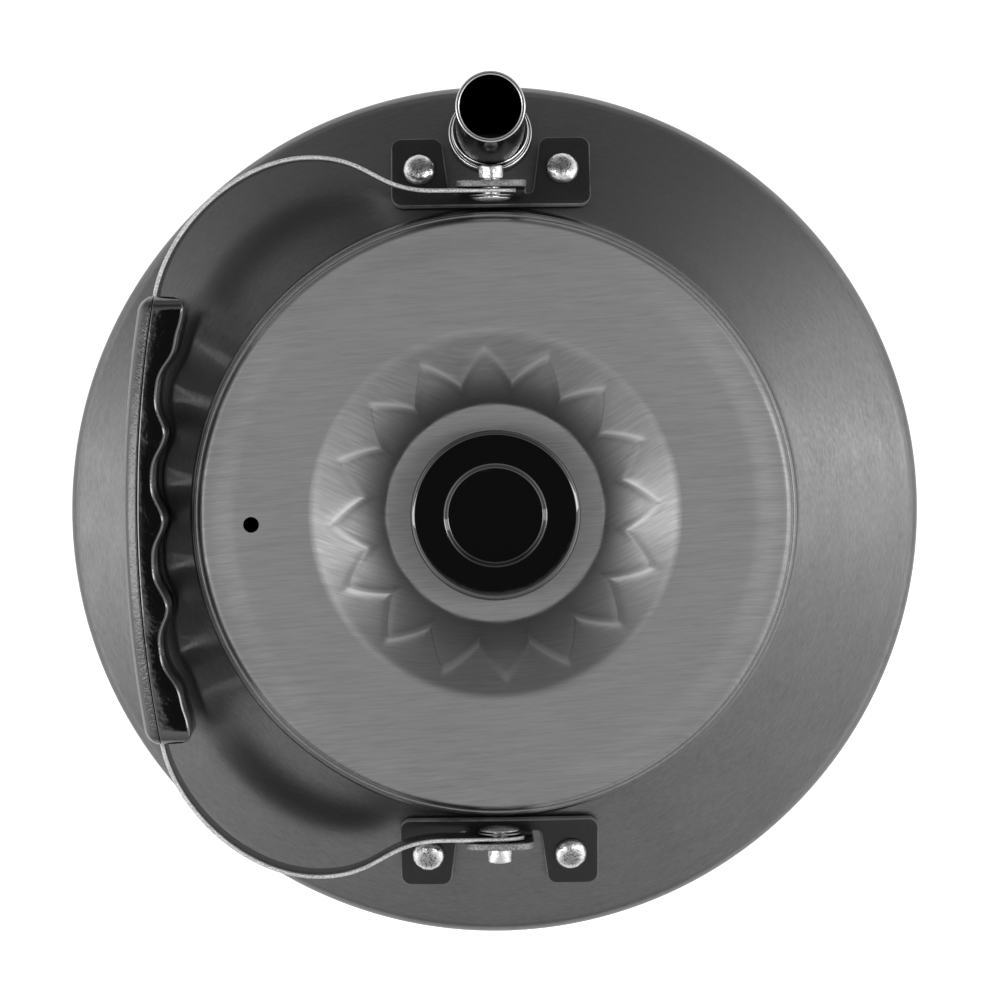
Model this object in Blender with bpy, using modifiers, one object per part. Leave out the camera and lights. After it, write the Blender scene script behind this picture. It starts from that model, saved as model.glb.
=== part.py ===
"""Ultralight camp kettle with a folding bail and a lid that lifts off.

The body is one spun aluminium shell: flat base, straight wall, sloping shoulder and short neck.
A pouring tube leans out of the shoulder at the front. Two black brackets are riveted to the
shoulder, and a steel strap with a two-part grip turns on a rivet through the ear of each.
The lid is a pressed sheet with a pleated finger well and a knob screwed down inside it.

Frame: metres, +Z up, origin on the kettle's axis at its underside, +Y towards the spout.
The bail lies folded over -X and the lid is seated.
"""

import math

import bmesh
import bpy
from mathutils import Matrix, Vector
from mathutils.geometry import interpolate_bezier

# Fits
GAP = 0.0003
BODY_STEPS = 48
LID_STEPS = 64
SPOUT_STEPS = 32
KNOB_STEPS = 36
SMALL_STEPS = 20
CUT_REACH = 0.004
FLAT_CAP = 0.999

# Body
BODY_RADIUS = 0.0925
BODY_SHEET = 0.0009
BASE_CORNER = 0.009
EDGE_HEIGHT = 0.052
EDGE_RADIUS = 0.0055
SHOULDER_SLOPE = math.radians(21.0)
NECK_HEIGHT = 0.0042
NECK_FILLET = 0.0016
NECK_TO_EAR = 0.0050

# Spout, whose collar stands this far in from the wall
SPOUT_MARGIN = 0.00225
SPOUT_LEAN = math.radians(11.0)
SPOUT_RADIUS = 0.0074
SPOUT_WALL = 0.00085
SPOUT_RISE = 0.0251
SPOUT_FLANGE_RIM = 0.0014
SPOUT_FLANGE_SHEET = 0.0008
SPOUT_FLANGE_CLEARANCE = 0.0006
COLLAR_RIM = 0.00165
COLLAR_HEIGHT = 0.0011
COLLAR_BEAD_RIM = 0.00095
COLLAR_BEAD_HEIGHT = 0.0024
COLLAR_TO_EAR = 0.00185

# Brackets, each with an inner lip on the lid's side of its ear
BRACKET_SHEET = 0.0015
BRACKET_WIDTH = 0.0427
BRACKET_LIP = 0.0043
BRACKET_DEPTH = 0.0148
BRACKET_CORNER = 0.0022
CUTOUT_MOUTH_CLEARANCE = 0.00145
CUTOUT_NARROWING = 0.0016
CUTOUT_CORNER = 0.0018
EAR_WIDTH = 0.0149
EAR_ABOVE_PIVOT = 0.0062
EAR_CORNER = 0.0045
EAR_ROOT_DEPTH = 0.0004

# Bracket rivets
RIVET_ACROSS = 0.0153
RIVET_BEYOND_EAR = 0.0035
RIVET_SHANK_RADIUS = 0.0016
RIVET_HEAD_RIM = 0.0019
RIVET_HEAD_HEIGHT = 0.0021
RIVET_TAIL_RIM = 0.0011
RIVET_TAIL_HEIGHT = 0.0010

# Pivot rivets and their washers
PIVOT_SHANK_RADIUS = 0.0021
PIVOT_HEAD_RIM = 0.0022
PIVOT_HEAD_HEIGHT = 0.0013
PIVOT_TAIL_RIM = 0.0006
PIVOT_TAIL_LENGTH = 0.0029
PIVOT_TAIL_WALL = 0.0011
PIVOT_TAIL_BORE_DEPTH = 0.0024
PIVOT_WASHER_RIM = 0.0026
PIVOT_WASHER_SHEET = 0.0004

# Strap
STRAP_SHEET = 0.0009
STRAP_WIDTH = 0.0110
JOGGLE_START = 0.0120
JOGGLE_END = 0.0385
JOGGLE_HANDLE = 0.0130
STRAP_SPREAD_FROM_EAR = 0.0066
BEND_START_HANDLE = 0.0160
BEND_END_HANDLE = 0.0140
JOGGLE_POINTS = 9
BEND_POINTS = 11
STRAP_END_STEPS = 12

# Grip
GRIP_INSET = 0.0135
GRIP_LENGTH = 0.0952
GRIP_ARC_RADIUS = 0.2700
GRIP_WIDTH = 0.0200
GRIP_DEPTH = 0.0076
GRIP_END_SWELL = 0.0011
GRIP_ROUND = 0.0020
GRIP_ROUND_ABOVE = math.radians(50.0)
GRIP_OUTER_STEPS = 16
GRIP_INNER_STEPS = 36
GROOVE_PITCH = 0.0183
GROOVE_SWING = 0.0012
SEAM_DEPTH = 0.00295
SEAM_STEPS = 14
SEAM_ROLL_STEPS = 240
# Where the grooves start to fade and how far that takes, in groove pitches
GROOVES_END = 1.75
GROOVES_FADE = 0.6
PEG_PLACE = 0.0366
PEG_RADIUS = 0.0020
PEG_LENGTH = 0.0016

# Lid, with heights from the top of the neck
LID_SHEET = 0.0008
LID_TURN = math.radians(3.5)
LID_BEAD_OVERHANG = 0.0002
LID_BEAD_HEIGHT = 0.0012
LID_PANEL_HEIGHT = 0.0029
LID_PANEL_ROUND = 0.0012
LID_SKIRT_DEPTH = 0.0090
LID_FALL_RUN = 0.0070
LID_FALL = 0.0003
WELL_FLOOR_RADIUS = 0.0235
WELL_DEPTH = 0.0085
WELL_RADIUS = 0.0391
WELL_LIP = 0.0060
WELL_CORNER = 0.0012
PLEATS = 16
PLEAT_SWING = 0.00375
PLEAT_CREST = 0.0006
VENT_RADIUS = 0.0017
VENT_INSET = 0.0114
VENT_ANGLE = math.radians(181.6)

# Knob and its screw, with heights from the top of the neck
KNOB_RADIUS = 0.0184
KNOB_TOP = 0.0060
KNOB_THICKNESS = 0.0070
KNOB_EDGE_ROUND = 0.00115
KNOB_DISH_RADIUS = 0.0110
KNOB_DISH_FLOOR_RADIUS = 0.00965
KNOB_DISH_DEPTH = 0.0017
KNOB_STEM_RADIUS = 0.0078
SCREW_RADIUS = 0.0020
SCREW_REACH = 0.0085
SCREW_HEAD_RIM = 0.0018
SCREW_HEAD_HEIGHT = 0.0022
SCREW_SLOT_WIDTH = 0.0010
SCREW_SLOT_LENGTH = 0.0050
SCREW_SLOT_DEPTH = 0.0011
SCREW_WASHER_RIM = 0.0040
SCREW_WASHER_SHEET = 0.0010

# Colours
ANODISED = (0.17, 0.17, 0.175)
BRUSHED = (0.30, 0.30, 0.30)
BLACK_PAINT = (0.030, 0.030, 0.032)
BLACK_MOULDING = (0.010, 0.010, 0.011)
BRIGHT_METAL = (0.62, 0.62, 0.62)
STEEL = (0.45, 0.44, 0.43)

PARTS = "ultralight_kettle"
CUTTERS = "cutters"


# Lines and heights

def arc(centre, radius, start, end, steps):
    """Points on an arc, with angles in degrees."""
    angles = [math.radians(start + (end - start) * i / steps) for i in range(steps + 1)]
    return [
        (centre[0] + radius * math.cos(a), centre[1] + radius * math.sin(a)) for a in angles
    ]


def offset_line(points, distance):
    """The line moved sideways by distance, to the right of the way it runs."""
    line = [Vector(p) for p in points]
    normals = []
    for start, end in zip(line, line[1:]):
        run = (end - start).normalized()
        normals.append(Vector((run.y, -run.x)))
    before = [normals[0]] + normals
    after = normals + [normals[-1]]
    moved = []
    for point, first, second in zip(line, before, after):
        middle = (first + second).normalized()
        moved.append(tuple(point + middle * (distance / middle.dot(first))))
    return moved


def rounded_outline(corners, steps=3):
    """A closed outline from corners of (x, y, radius), each rounded by an arc."""
    outline = []
    count = len(corners)
    for i, (x, y, radius) in enumerate(corners):
        corner = Vector((x, y))
        back = (Vector(corners[i - 1][:2]) - corner).normalized()
        ahead = (Vector(corners[(i + 1) % count][:2]) - corner).normalized()
        half = back.angle(ahead) / 2
        centre = corner + (back + ahead).normalized() * (radius / math.sin(half))
        start = corner + back * (radius / math.tan(half)) - centre
        end = corner + ahead * (radius / math.tan(half)) - centre
        turn = start.angle_signed(end)
        for step in range(steps + 1):
            spoke = start.copy()
            spoke.rotate(Matrix.Rotation(-turn * step / steps, 2))
            outline.append(tuple(centre + spoke))
    return outline


def edge_centre():
    """Centre of the round between wall and shoulder, as (radius, height)."""
    return (BODY_RADIUS - EDGE_RADIUS, EDGE_HEIGHT)


def shoulder_height(radius, lift=0.0):
    """Height of the shoulder's outer face, raised by lift square to the slope."""
    fall = (radius - edge_centre()[0]) * math.sin(SHOULDER_SLOPE)
    return EDGE_HEIGHT + (EDGE_RADIUS + lift - fall) / math.cos(SHOULDER_SLOPE)


def collar_radius():
    """Outer radius of the collar round the spout."""
    return SPOUT_RADIUS + COLLAR_RIM


def spout_place():
    """Distance of the spout's root from the kettle's axis."""
    return BODY_RADIUS - SPOUT_MARGIN - collar_radius() * math.cos(SHOULDER_SLOPE)


def ear_place():
    """Distance of an ear's lid-side face from the kettle's axis."""
    collar_edge = spout_place() - collar_radius() * math.cos(SHOULDER_SLOPE)
    return collar_edge - COLLAR_TO_EAR - BRACKET_SHEET


def neck_radius():
    """Outer radius of the neck."""
    return ear_place() - NECK_TO_EAR


def neck_top():
    """Height of the neck's rim, where the lid sits."""
    return shoulder_height(neck_radius()) + NECK_HEIGHT


def grip_reach():
    """Distance of the grip's outer face from the bail's axis, at its middle."""
    return BODY_RADIUS - GRIP_INSET


def pivot_height():
    """Height of the bail's axis that lays the folded grip on the shoulder."""
    bump = grip_reach() - GRIP_DEPTH - GROOVE_SWING
    corner = bump + GRIP_ROUND
    return shoulder_height(corner, GRIP_ROUND + GAP) - GRIP_ROUND + GRIP_WIDTH / 2


def strap_place():
    """Distance of the strap's middle from the kettle's axis at the pivot."""
    return ear_place() - GAP - STRAP_SHEET / 2


def strap_spread():
    """Greatest distance of the strap's middle from the kettle's axis, along Y."""
    return ear_place() + STRAP_SPREAD_FROM_EAR


def seam_radius():
    """Radius of the seam inside the grip, about the grip's own centre."""
    return GRIP_ARC_RADIUS - SEAM_DEPTH


def grip_centre():
    """Centre of the grip's arc along X."""
    return GRIP_ARC_RADIUS - grip_reach()


# Objects

def collection(name):
    """The collection with this name, made when it is first asked for."""
    found = bpy.data.collections.get(name)
    if found is None:
        found = bpy.data.collections.new(name)
        bpy.context.scene.collection.children.link(found)
    return found


def add_object(name, data, group=PARTS):
    """Link new object data into a collection."""
    obj = bpy.data.objects.new(name, data)
    collection(group).objects.link(obj)
    if group == CUTTERS:
        obj.hide_render = True
        obj.display_type = "WIRE"
    return obj


def empty(name, place):
    """An empty that carries the pieces of one moving body."""
    obj = add_object(name, None)
    obj.location = place
    return obj


def as_mesh(obj):
    """Replace an object by the mesh it evaluates to, with loose caps welded."""
    bpy.context.view_layer.update()
    evaluated = obj.evaluated_get(bpy.context.evaluated_depsgraph_get())
    mesh = bpy.data.meshes.new_from_object(evaluated)
    name = obj.name
    group = obj.users_collection[0].name
    placed = obj.matrix_world.copy()
    bpy.data.objects.remove(obj)
    shape = bmesh.new()
    shape.from_mesh(mesh)
    bmesh.ops.remove_doubles(shape, verts=shape.verts, dist=1e-7)
    bmesh.ops.recalc_face_normals(shape, faces=shape.faces)
    shape.to_mesh(mesh)
    shape.free()
    solid = add_object(name, mesh, group)
    solid.matrix_world = placed
    return solid


def turned(name, profile, steps=SMALL_STEPS, closed=False, group=PARTS):
    """A turned solid about local Z, from a profile that runs down its outer side."""
    mesh = bpy.data.meshes.new(name)
    points = [(radius, 0.0, height) for radius, height in profile]
    edges = [(i, i + 1) for i in range(len(points) - 1)]
    if closed:
        edges.append((len(points) - 1, 0))
    mesh.from_pydata(points, edges, [])
    obj = add_object(name, mesh, group)
    screw = obj.modifiers.new("turn", "SCREW")
    screw.steps = steps
    screw.render_steps = steps
    screw.use_merge_vertices = True
    screw.merge_threshold = 1e-6
    screw.use_smooth_shade = True
    return obj


def plate(name, outline, thickness, group=PARTS):
    """A flat solid from an outline in local XY, centred on local Z = 0."""
    curve = bpy.data.curves.new(name, "CURVE")
    curve.dimensions = "2D"
    curve.fill_mode = "BOTH"
    curve.extrude = thickness / 2
    spline = curve.splines.new("POLY")
    spline.points.add(len(outline) - 1)
    for point, (x, y) in zip(spline.points, outline):
        point.co = (x, y, 0.0, 1.0)
    spline.use_cyclic_u = True
    solid = as_mesh(add_object(name, curve, group))
    merge_caps(solid.data)
    return solid


def merge_caps(mesh):
    """Make each flat cap one face, so that a bevel or a cut leaves no folds in it."""
    shape = bmesh.new()
    shape.from_mesh(mesh)
    inside = [e for e in shape.edges if all(abs(f.normal.z) > FLAT_CAP for f in e.link_faces)]
    bmesh.ops.dissolve_edges(shape, edges=inside, use_verts=False)
    shape.to_mesh(mesh)
    shape.free()


def cylinder(name, radius, length, steps=SMALL_STEPS, group=CUTTERS):
    """A cylinder along local Z, centred on its origin."""
    mesh = bpy.data.meshes.new(name)
    shape = bmesh.new()
    bmesh.ops.create_cone(
        shape, cap_ends=True, segments=steps, radius1=radius, radius2=radius, depth=length
    )
    shape.to_mesh(mesh)
    shape.free()
    return add_object(name, mesh, group)


def block(name, size, group=CUTTERS):
    """A box centred on its origin."""
    mesh = bpy.data.meshes.new(name)
    shape = bmesh.new()
    bmesh.ops.create_cube(shape, size=1.0, matrix=Matrix.Diagonal((*size, 1.0)))
    shape.to_mesh(mesh)
    shape.free()
    return add_object(name, mesh, group)


def boolean(obj, cutter, operation="DIFFERENCE"):
    """Cut, join or trim an object with another one."""
    step = obj.modifiers.new(cutter.name, "BOOLEAN")
    step.operation = operation
    step.object = cutter


def joined(obj, addition):
    """Join an added shape to an object, which becomes one body."""
    boolean(obj, addition, "UNION")
    solid = as_mesh(obj)
    bpy.data.objects.remove(addition)
    return solid


def finish(obj, material, sharp=32.0):
    """Give a piece its material and shade its round faces smooth."""
    obj.data.materials.clear()
    obj.data.materials.append(material)
    obj.data.shade_smooth()
    obj.data.set_sharp_from_angle(angle=math.radians(sharp))
    return obj


def principled(name, colour, roughness, metallic):
    """A material with one Principled BSDF."""
    made = bpy.data.materials.new(name)
    made.use_nodes = True
    shader = made.node_tree.nodes["Principled BSDF"]
    shader.inputs["Base Color"].default_value = (*colour, 1.0)
    shader.inputs["Roughness"].default_value = roughness
    shader.inputs["Metallic"].default_value = metallic
    return made


# Places that several pieces share

def slope_place(x, y):
    """Frame on the shoulder's outer face at (x, y), with its Z square to the slope."""
    radius = math.hypot(x, y)
    around = math.atan2(y, x)
    turn = Matrix.Rotation(around, 4, "Z") @ Matrix.Rotation(SHOULDER_SLOPE, 4, "Y")
    return Matrix.Translation((x, y, shoulder_height(radius))) @ turn


def spout_frame():
    """Frame of the pouring tube, with its Z along the tube."""
    root = Vector((0.0, spout_place(), shoulder_height(spout_place())))
    return Matrix.Translation(root) @ Matrix.Rotation(-SPOUT_LEAN, 4, "X")


def pivot_frame(side):
    """Frame of one pivot rivet, with its Z pointing outward along the bail's axis."""
    turn = Matrix.Rotation(-side * math.pi / 2, 4, "X")
    return Matrix.Translation((0.0, side * ear_place(), pivot_height())) @ turn


def rivet_places(side):
    """Left and right rivet places of one bracket."""
    y = side * (ear_place() + RIVET_BEYOND_EAR)
    return {"left": (-RIVET_ACROSS, y), "right": (RIVET_ACROSS, y)}


def drill(name, place, radius, length):
    """A drill for a hole along the Z of a frame."""
    tool = cylinder(name, radius, length)
    tool.matrix_world = place
    return tool


# Body and spout

def body_line():
    """Outer face of the body from the neck's rim down to the centre of the base."""
    slope = math.degrees(SHOULDER_SLOPE)
    fillet_radius = neck_radius() + NECK_FILLET
    fillet_centre = (fillet_radius, shoulder_height(fillet_radius, NECK_FILLET))
    corner_centre = (BODY_RADIUS - BASE_CORNER, BASE_CORNER)
    line = [(neck_radius(), neck_top())]
    line += arc(fillet_centre, NECK_FILLET, 180, 270 - slope, 3)
    line += arc(edge_centre(), EDGE_RADIUS, 90 - slope, 0, 4)
    line += arc(corner_centre, BASE_CORNER, 0, -90, 5)
    return line + [(0.0, 0.0)]


def kettle_body(material):
    """The spun shell, with its holes for spout and rivets."""
    outer = body_line()
    inner = offset_line(outer, BODY_SHEET)
    body = turned("kettle_body", inner[::-1] + outer, BODY_STEPS)
    spout_hole = drill("spout_hole", spout_frame(), SPOUT_RADIUS + GAP, 5 * CUT_REACH)
    boolean(body, spout_hole)
    for end, side in (("front", 1), ("rear", -1)):
        for hand, (x, y) in rivet_places(side).items():
            name = f"{end}_{hand}_rivet_hole"
            hole = drill(name, slope_place(x, y), RIVET_SHANK_RADIUS + GAP, 4 * CUT_REACH)
            boolean(body, hole)
    return finish(as_mesh(body), material)


def spout_tube(material):
    """The pouring tube, level at its mouth and flanged under the shoulder."""
    root = spout_frame()
    square = slope_place(0.0, spout_place())
    flange_top = -(BODY_SHEET + SPOUT_FLANGE_CLEARANCE)
    length = 2 * (SPOUT_RISE + CUT_REACH)
    tube = cylinder("spout_tube", SPOUT_RADIUS, length, SPOUT_STEPS, PARTS)
    tube.matrix_world = root
    flange_radius = SPOUT_RADIUS + SPOUT_FLANGE_RIM
    flange = cylinder("spout_flange", flange_radius, SPOUT_FLANGE_SHEET, SPOUT_STEPS)
    flange.matrix_world = square @ Matrix.Translation((0, 0, flange_top - SPOUT_FLANGE_SHEET / 2))
    tube = joined(tube, flange)
    trim = (length, length, length)
    bottom = block("spout_bottom_trim", trim)
    bottom_height = flange_top - SPOUT_FLANGE_SHEET - length / 2
    bottom.matrix_world = square @ Matrix.Translation((0, 0, bottom_height))
    boolean(tube, bottom)
    mouth = block("spout_mouth_trim", trim)
    mouth.location = root.translation + Vector((0, 0, SPOUT_RISE + length / 2))
    boolean(tube, mouth)
    bore = drill("spout_bore", root, SPOUT_RADIUS - SPOUT_WALL, 2 * length)
    boolean(tube, bore)
    return finish(as_mesh(tube), material)


def spout_collar(material):
    """The stepped ring that clamps the tube against the shoulder from outside."""
    bead_radius = SPOUT_RADIUS + COLLAR_BEAD_RIM
    bead = (COLLAR_BEAD_HEIGHT - COLLAR_HEIGHT) / 2
    edge = (COLLAR_RIM - COLLAR_BEAD_RIM) / 2
    profile = [(0.0, GAP + COLLAR_BEAD_HEIGHT)]
    profile += arc((bead_radius - bead, GAP + COLLAR_BEAD_HEIGHT - bead), bead, 90, 0, 2)
    profile += [(bead_radius, GAP + COLLAR_HEIGHT)]
    profile += arc((collar_radius() - edge, GAP + COLLAR_HEIGHT - edge), edge, 90, 0, 2)
    profile += [(collar_radius(), GAP), (0.0, GAP)]
    collar = turned("spout_collar", profile, SPOUT_STEPS)
    collar.matrix_world = slope_place(0.0, spout_place())
    hole = drill("spout_collar_hole", spout_frame(), SPOUT_RADIUS + GAP, 6 * CUT_REACH)
    boolean(collar, hole)
    return finish(as_mesh(collar), material)


# Brackets and rivets

def bracket_edges():
    """Distances of a bracket's inner and outer edge from the kettle's axis."""
    near = ear_place() - BRACKET_LIP
    return near, near + BRACKET_DEPTH


def bracket_outline(side):
    """Outline of a bracket's plate seen from above, with its cut-out facing outward."""
    half = BRACKET_WIDTH / 2
    mouth = collar_radius() + CUTOUT_MOUTH_CLEARANCE
    neck = mouth - CUTOUT_NARROWING
    near, far = bracket_edges()
    ear_face = ear_place() + BRACKET_SHEET
    corners = [
        (-half, near, BRACKET_CORNER),
        (half, near, BRACKET_CORNER),
        (half, far, BRACKET_CORNER),
        (mouth, far, BRACKET_CORNER),
        (neck, ear_face, CUTOUT_CORNER),
        (-neck, ear_face, CUTOUT_CORNER),
        (-mouth, far, BRACKET_CORNER),
        (-half, far, BRACKET_CORNER),
    ]
    return [(side * x, side * y) for x, y in rounded_outline(corners)]


def bracket(name, side, material):
    """A pressed bracket: a plate that follows the shoulder, and an ear bent up from it."""
    near, far = bracket_edges()
    reach = (near - CUT_REACH / 2, far + CUT_REACH)
    under = [(r, shoulder_height(r, GAP)) for r in reach]
    over = [(r, shoulder_height(r, GAP + BRACKET_SHEET)) for r in reach]
    band = turned(name, over + under[::-1], BODY_STEPS, closed=True)
    blank = plate(f"{name}_blank", bracket_outline(side), 2 * BRACKET_DEPTH, CUTTERS)
    blank.location.z = shoulder_height(ear_place())
    boolean(band, blank, "INTERSECT")
    foot = shoulder_height(ear_place(), GAP) + EAR_ROOT_DEPTH
    top = pivot_height() + EAR_ABOVE_PIVOT
    half = EAR_WIDTH / 2
    ear_outline = rounded_outline([
        (-half, foot, EAR_ROOT_DEPTH),
        (half, foot, EAR_ROOT_DEPTH),
        (half, top, EAR_CORNER),
        (-half, top, EAR_CORNER),
    ])
    ear = plate(f"{name}_ear", ear_outline, BRACKET_SHEET, CUTTERS)
    ear.rotation_euler.x = math.pi / 2
    ear.location.y = side * (ear_place() + BRACKET_SHEET / 2)
    solid = joined(band, ear)
    hole = drill(f"{name}_pivot_hole", pivot_frame(side), PIVOT_SHANK_RADIUS + GAP, 2 * CUT_REACH)
    boolean(solid, hole)
    for hand, (x, y) in rivet_places(side).items():
        tool = drill(f"{name}_{hand}_hole", slope_place(x, y), RIVET_SHANK_RADIUS + GAP, 4 * CUT_REACH)
        boolean(solid, tool)
    return finish(as_mesh(solid), material)


def dome(radius, height, foot, steps=4):
    """Profile of a domed head from its crown down to its rim, standing on foot."""
    angles = [math.pi / 2 * (1 - i / steps) for i in range(1, steps + 1)]
    rim = [(radius * math.cos(a), foot + height * math.sin(a)) for a in angles]
    return [(0.0, foot + height)] + rim


def bracket_rivet(name, place, material):
    """A rivet square to the shoulder, domed outside and with its tail formed inside."""
    head_foot = BRACKET_SHEET + 2 * GAP
    tail_radius = RIVET_SHANK_RADIUS + RIVET_TAIL_RIM
    tail_top = -(BODY_SHEET + GAP)
    tail_bottom = tail_top - RIVET_TAIL_HEIGHT
    profile = dome(RIVET_SHANK_RADIUS + RIVET_HEAD_RIM, RIVET_HEAD_HEIGHT, head_foot)
    profile += [
        (RIVET_SHANK_RADIUS, head_foot),
        (RIVET_SHANK_RADIUS, tail_top),
        (tail_radius, tail_top),
        (tail_radius, tail_top - RIVET_TAIL_HEIGHT / 2),
        (tail_radius - RIVET_TAIL_HEIGHT / 2, tail_bottom),
        (0.0, tail_bottom),
    ]
    rivet = turned(name, profile)
    rivet.matrix_world = slope_place(*place)
    return finish(as_mesh(rivet), material)


def pivot_stack():
    """Faces along a pivot rivet, measured outward from the ear's lid side."""
    washer_top = -(2 * GAP + STRAP_SHEET)
    washer_bottom = washer_top - PIVOT_WASHER_SHEET
    head_top = washer_bottom - GAP
    tail_foot = BRACKET_SHEET + GAP
    return washer_top, washer_bottom, head_top, tail_foot


def pivot_rivet(name, side, material):
    """A tubular rivet through ear, strap and washer, domed on the lid side."""
    head_top, tail_foot = pivot_stack()[2:]
    tail_end = tail_foot + PIVOT_TAIL_LENGTH
    tail_radius = PIVOT_SHANK_RADIUS + PIVOT_TAIL_RIM
    bore = tail_radius - PIVOT_TAIL_WALL
    rounding = PIVOT_TAIL_WALL / 2
    profile = [
        (0.0, tail_end - PIVOT_TAIL_BORE_DEPTH),
        (bore, tail_end - PIVOT_TAIL_BORE_DEPTH),
    ]
    profile += arc((tail_radius - rounding, tail_end - rounding), rounding, 180, 0, 4)
    profile += [
        (tail_radius, tail_foot),
        (PIVOT_SHANK_RADIUS, tail_foot),
        (PIVOT_SHANK_RADIUS, head_top),
    ]
    crown = dome(PIVOT_SHANK_RADIUS + PIVOT_HEAD_RIM, PIVOT_HEAD_HEIGHT, 0.0)
    profile += [(radius, head_top - height) for radius, height in crown[::-1]]
    rivet = turned(name, profile)
    rivet.matrix_world = pivot_frame(side)
    return finish(as_mesh(rivet), material)


def washer(name, radius, hole, top, bottom):
    """A flat washer between two heights."""
    profile = [(hole, top), (radius, top), (radius, bottom), (hole, bottom)]
    return turned(name, profile, closed=True)


def pivot_washer(name, side, material):
    """The thin washer between the strap and the rivet's head."""
    top, bottom = pivot_stack()[:2]
    radius = PIVOT_SHANK_RADIUS + PIVOT_WASHER_RIM
    ring = washer(name, radius, PIVOT_SHANK_RADIUS + GAP, top, bottom)
    ring.matrix_world = pivot_frame(side)
    return finish(as_mesh(ring), material)


# Bail

def grip_arc(radius, length, steps):
    """Points along the grip at a radius from its own centre, from -Y to +Y."""
    half = math.asin(length / 2 / radius)
    angles = [half * (2 * i / steps - 1) for i in range(steps + 1)]
    return [(grip_centre() - radius * math.cos(a), radius * math.sin(a)) for a in angles]


def strap_line():
    """Middle of the strap in plan, from the rear pivot round the grip to the front one."""
    seam = grip_arc(seam_radius(), GRIP_LENGTH, SEAM_STEPS)
    end, before = Vector(seam[-1]), Vector(seam[-2])
    away = (end - before).normalized()
    straight = strap_place()
    spread = strap_spread()
    joggle = interpolate_bezier(
        Vector((-JOGGLE_START, straight)),
        Vector((-JOGGLE_START - JOGGLE_HANDLE, straight)),
        Vector((-JOGGLE_END + JOGGLE_HANDLE, spread)),
        Vector((-JOGGLE_END, spread)),
        JOGGLE_POINTS,
    )
    bend = interpolate_bezier(
        Vector((-JOGGLE_END, spread)),
        Vector((-JOGGLE_END - BEND_START_HANDLE, spread)),
        end + away * BEND_END_HANDLE,
        end,
        BEND_POINTS,
    )
    front = [(STRAP_WIDTH / 2, straight)]
    front += [(p[0], p[1]) for p in joggle]
    front += [(p[0], p[1]) for p in bend[1:-1]]
    rear = [(x, -y) for x, y in front]
    return rear + seam + front[::-1]


def bail_strap(parent, material):
    """The bent strip, rounded and holed at its pivots and holed for the grip's pegs."""
    line = strap_line()
    outline = offset_line(line, STRAP_SHEET / 2) + offset_line(line, -STRAP_SHEET / 2)[::-1]
    strap = plate("bail_strap", outline, STRAP_WIDTH)
    half = STRAP_WIDTH / 2
    span = grip_reach() + CUT_REACH
    beyond = half + CUT_REACH
    side_view = [(-span, -beyond), (0.0, -beyond), (0.0, -half)]
    side_view += arc((0.0, 0.0), half, -90, 90, STRAP_END_STEPS)[1:-1]
    side_view += [(0.0, half), (0.0, beyond), (-span, beyond)]
    side_trim = plate("strap_side_trim", side_view, 2 * (strap_spread() + CUT_REACH), CUTTERS)
    side_trim.rotation_euler.x = math.pi / 2
    boolean(strap, side_trim, "INTERSECT")
    pivot_hole = cylinder("strap_pivot_hole", PIVOT_SHANK_RADIUS + GAP, 2 * strap_spread())
    pivot_hole.rotation_euler.x = math.pi / 2
    boolean(strap, pivot_hole)
    for number, place in enumerate(peg_places()):
        hole = cylinder(f"strap_peg_hole_{number}", PEG_RADIUS + GAP, 2 * CUT_REACH)
        hole.matrix_world = place
        boolean(strap, hole)
    return finish(carried(as_mesh(strap), parent), material)


def peg_places():
    """Frames on the grip's seam, with Z pointing outward through both shells."""
    places = []
    for y in (-PEG_PLACE, PEG_PLACE):
        turn = math.asin(y / seam_radius())
        place = (grip_centre() - seam_radius() * math.cos(turn), y, 0.0)
        spin = Matrix.Rotation(-turn, 4, "Z") @ Matrix.Rotation(-math.pi / 2, 4, "Y")
        places.append(Matrix.Translation(place) @ spin)
    return places


def grip_depth(y):
    """Depth of the grip in plan, with its finger grooves and swelled ends."""
    waves = GROOVE_SWING * math.cos(2 * math.pi * y / GROOVE_PITCH)
    ramp = min(max(abs(y) / GROOVE_PITCH - GROOVES_END, 0.0) / GROOVES_FADE, 1.0)
    return GRIP_DEPTH + waves * (1 - ramp) + (GRIP_END_SWELL + GROOVE_SWING) * ramp


def whole_grip(name):
    """The grip before it is split, rounded all over and lying in the bail's plane."""
    outer = grip_arc(GRIP_ARC_RADIUS, GRIP_LENGTH, GRIP_OUTER_STEPS)
    facing = grip_arc(GRIP_ARC_RADIUS, GRIP_LENGTH, GRIP_INNER_STEPS)
    inner = [(x + grip_depth(y), y) for x, y in facing]
    solid = plate(name, outer + inner[::-1], GRIP_WIDTH)
    bevel = solid.modifiers.new("round", "BEVEL")
    bevel.width = GRIP_ROUND
    bevel.segments = 3
    bevel.limit_method = "ANGLE"
    bevel.angle_limit = GRIP_ROUND_ABOVE
    return solid


def strap_channel(name):
    """The slot that both grip shells leave for the strap."""
    reach = STRAP_SHEET / 2 + GAP
    length = GRIP_LENGTH + 2 * CUT_REACH
    near = grip_arc(seam_radius() - reach, length, SEAM_STEPS)
    far = grip_arc(seam_radius() + reach, length, SEAM_STEPS)
    return plate(name, near + far[::-1], STRAP_WIDTH + 2 * GAP, CUTTERS)


def seam_roll(name, radius):
    """A wide cylinder about the grip's centre, whose side is the seam."""
    roll = cylinder(name, radius, 2 * GRIP_WIDTH, SEAM_ROLL_STEPS)
    roll.location.x = grip_centre()
    return roll


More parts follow.
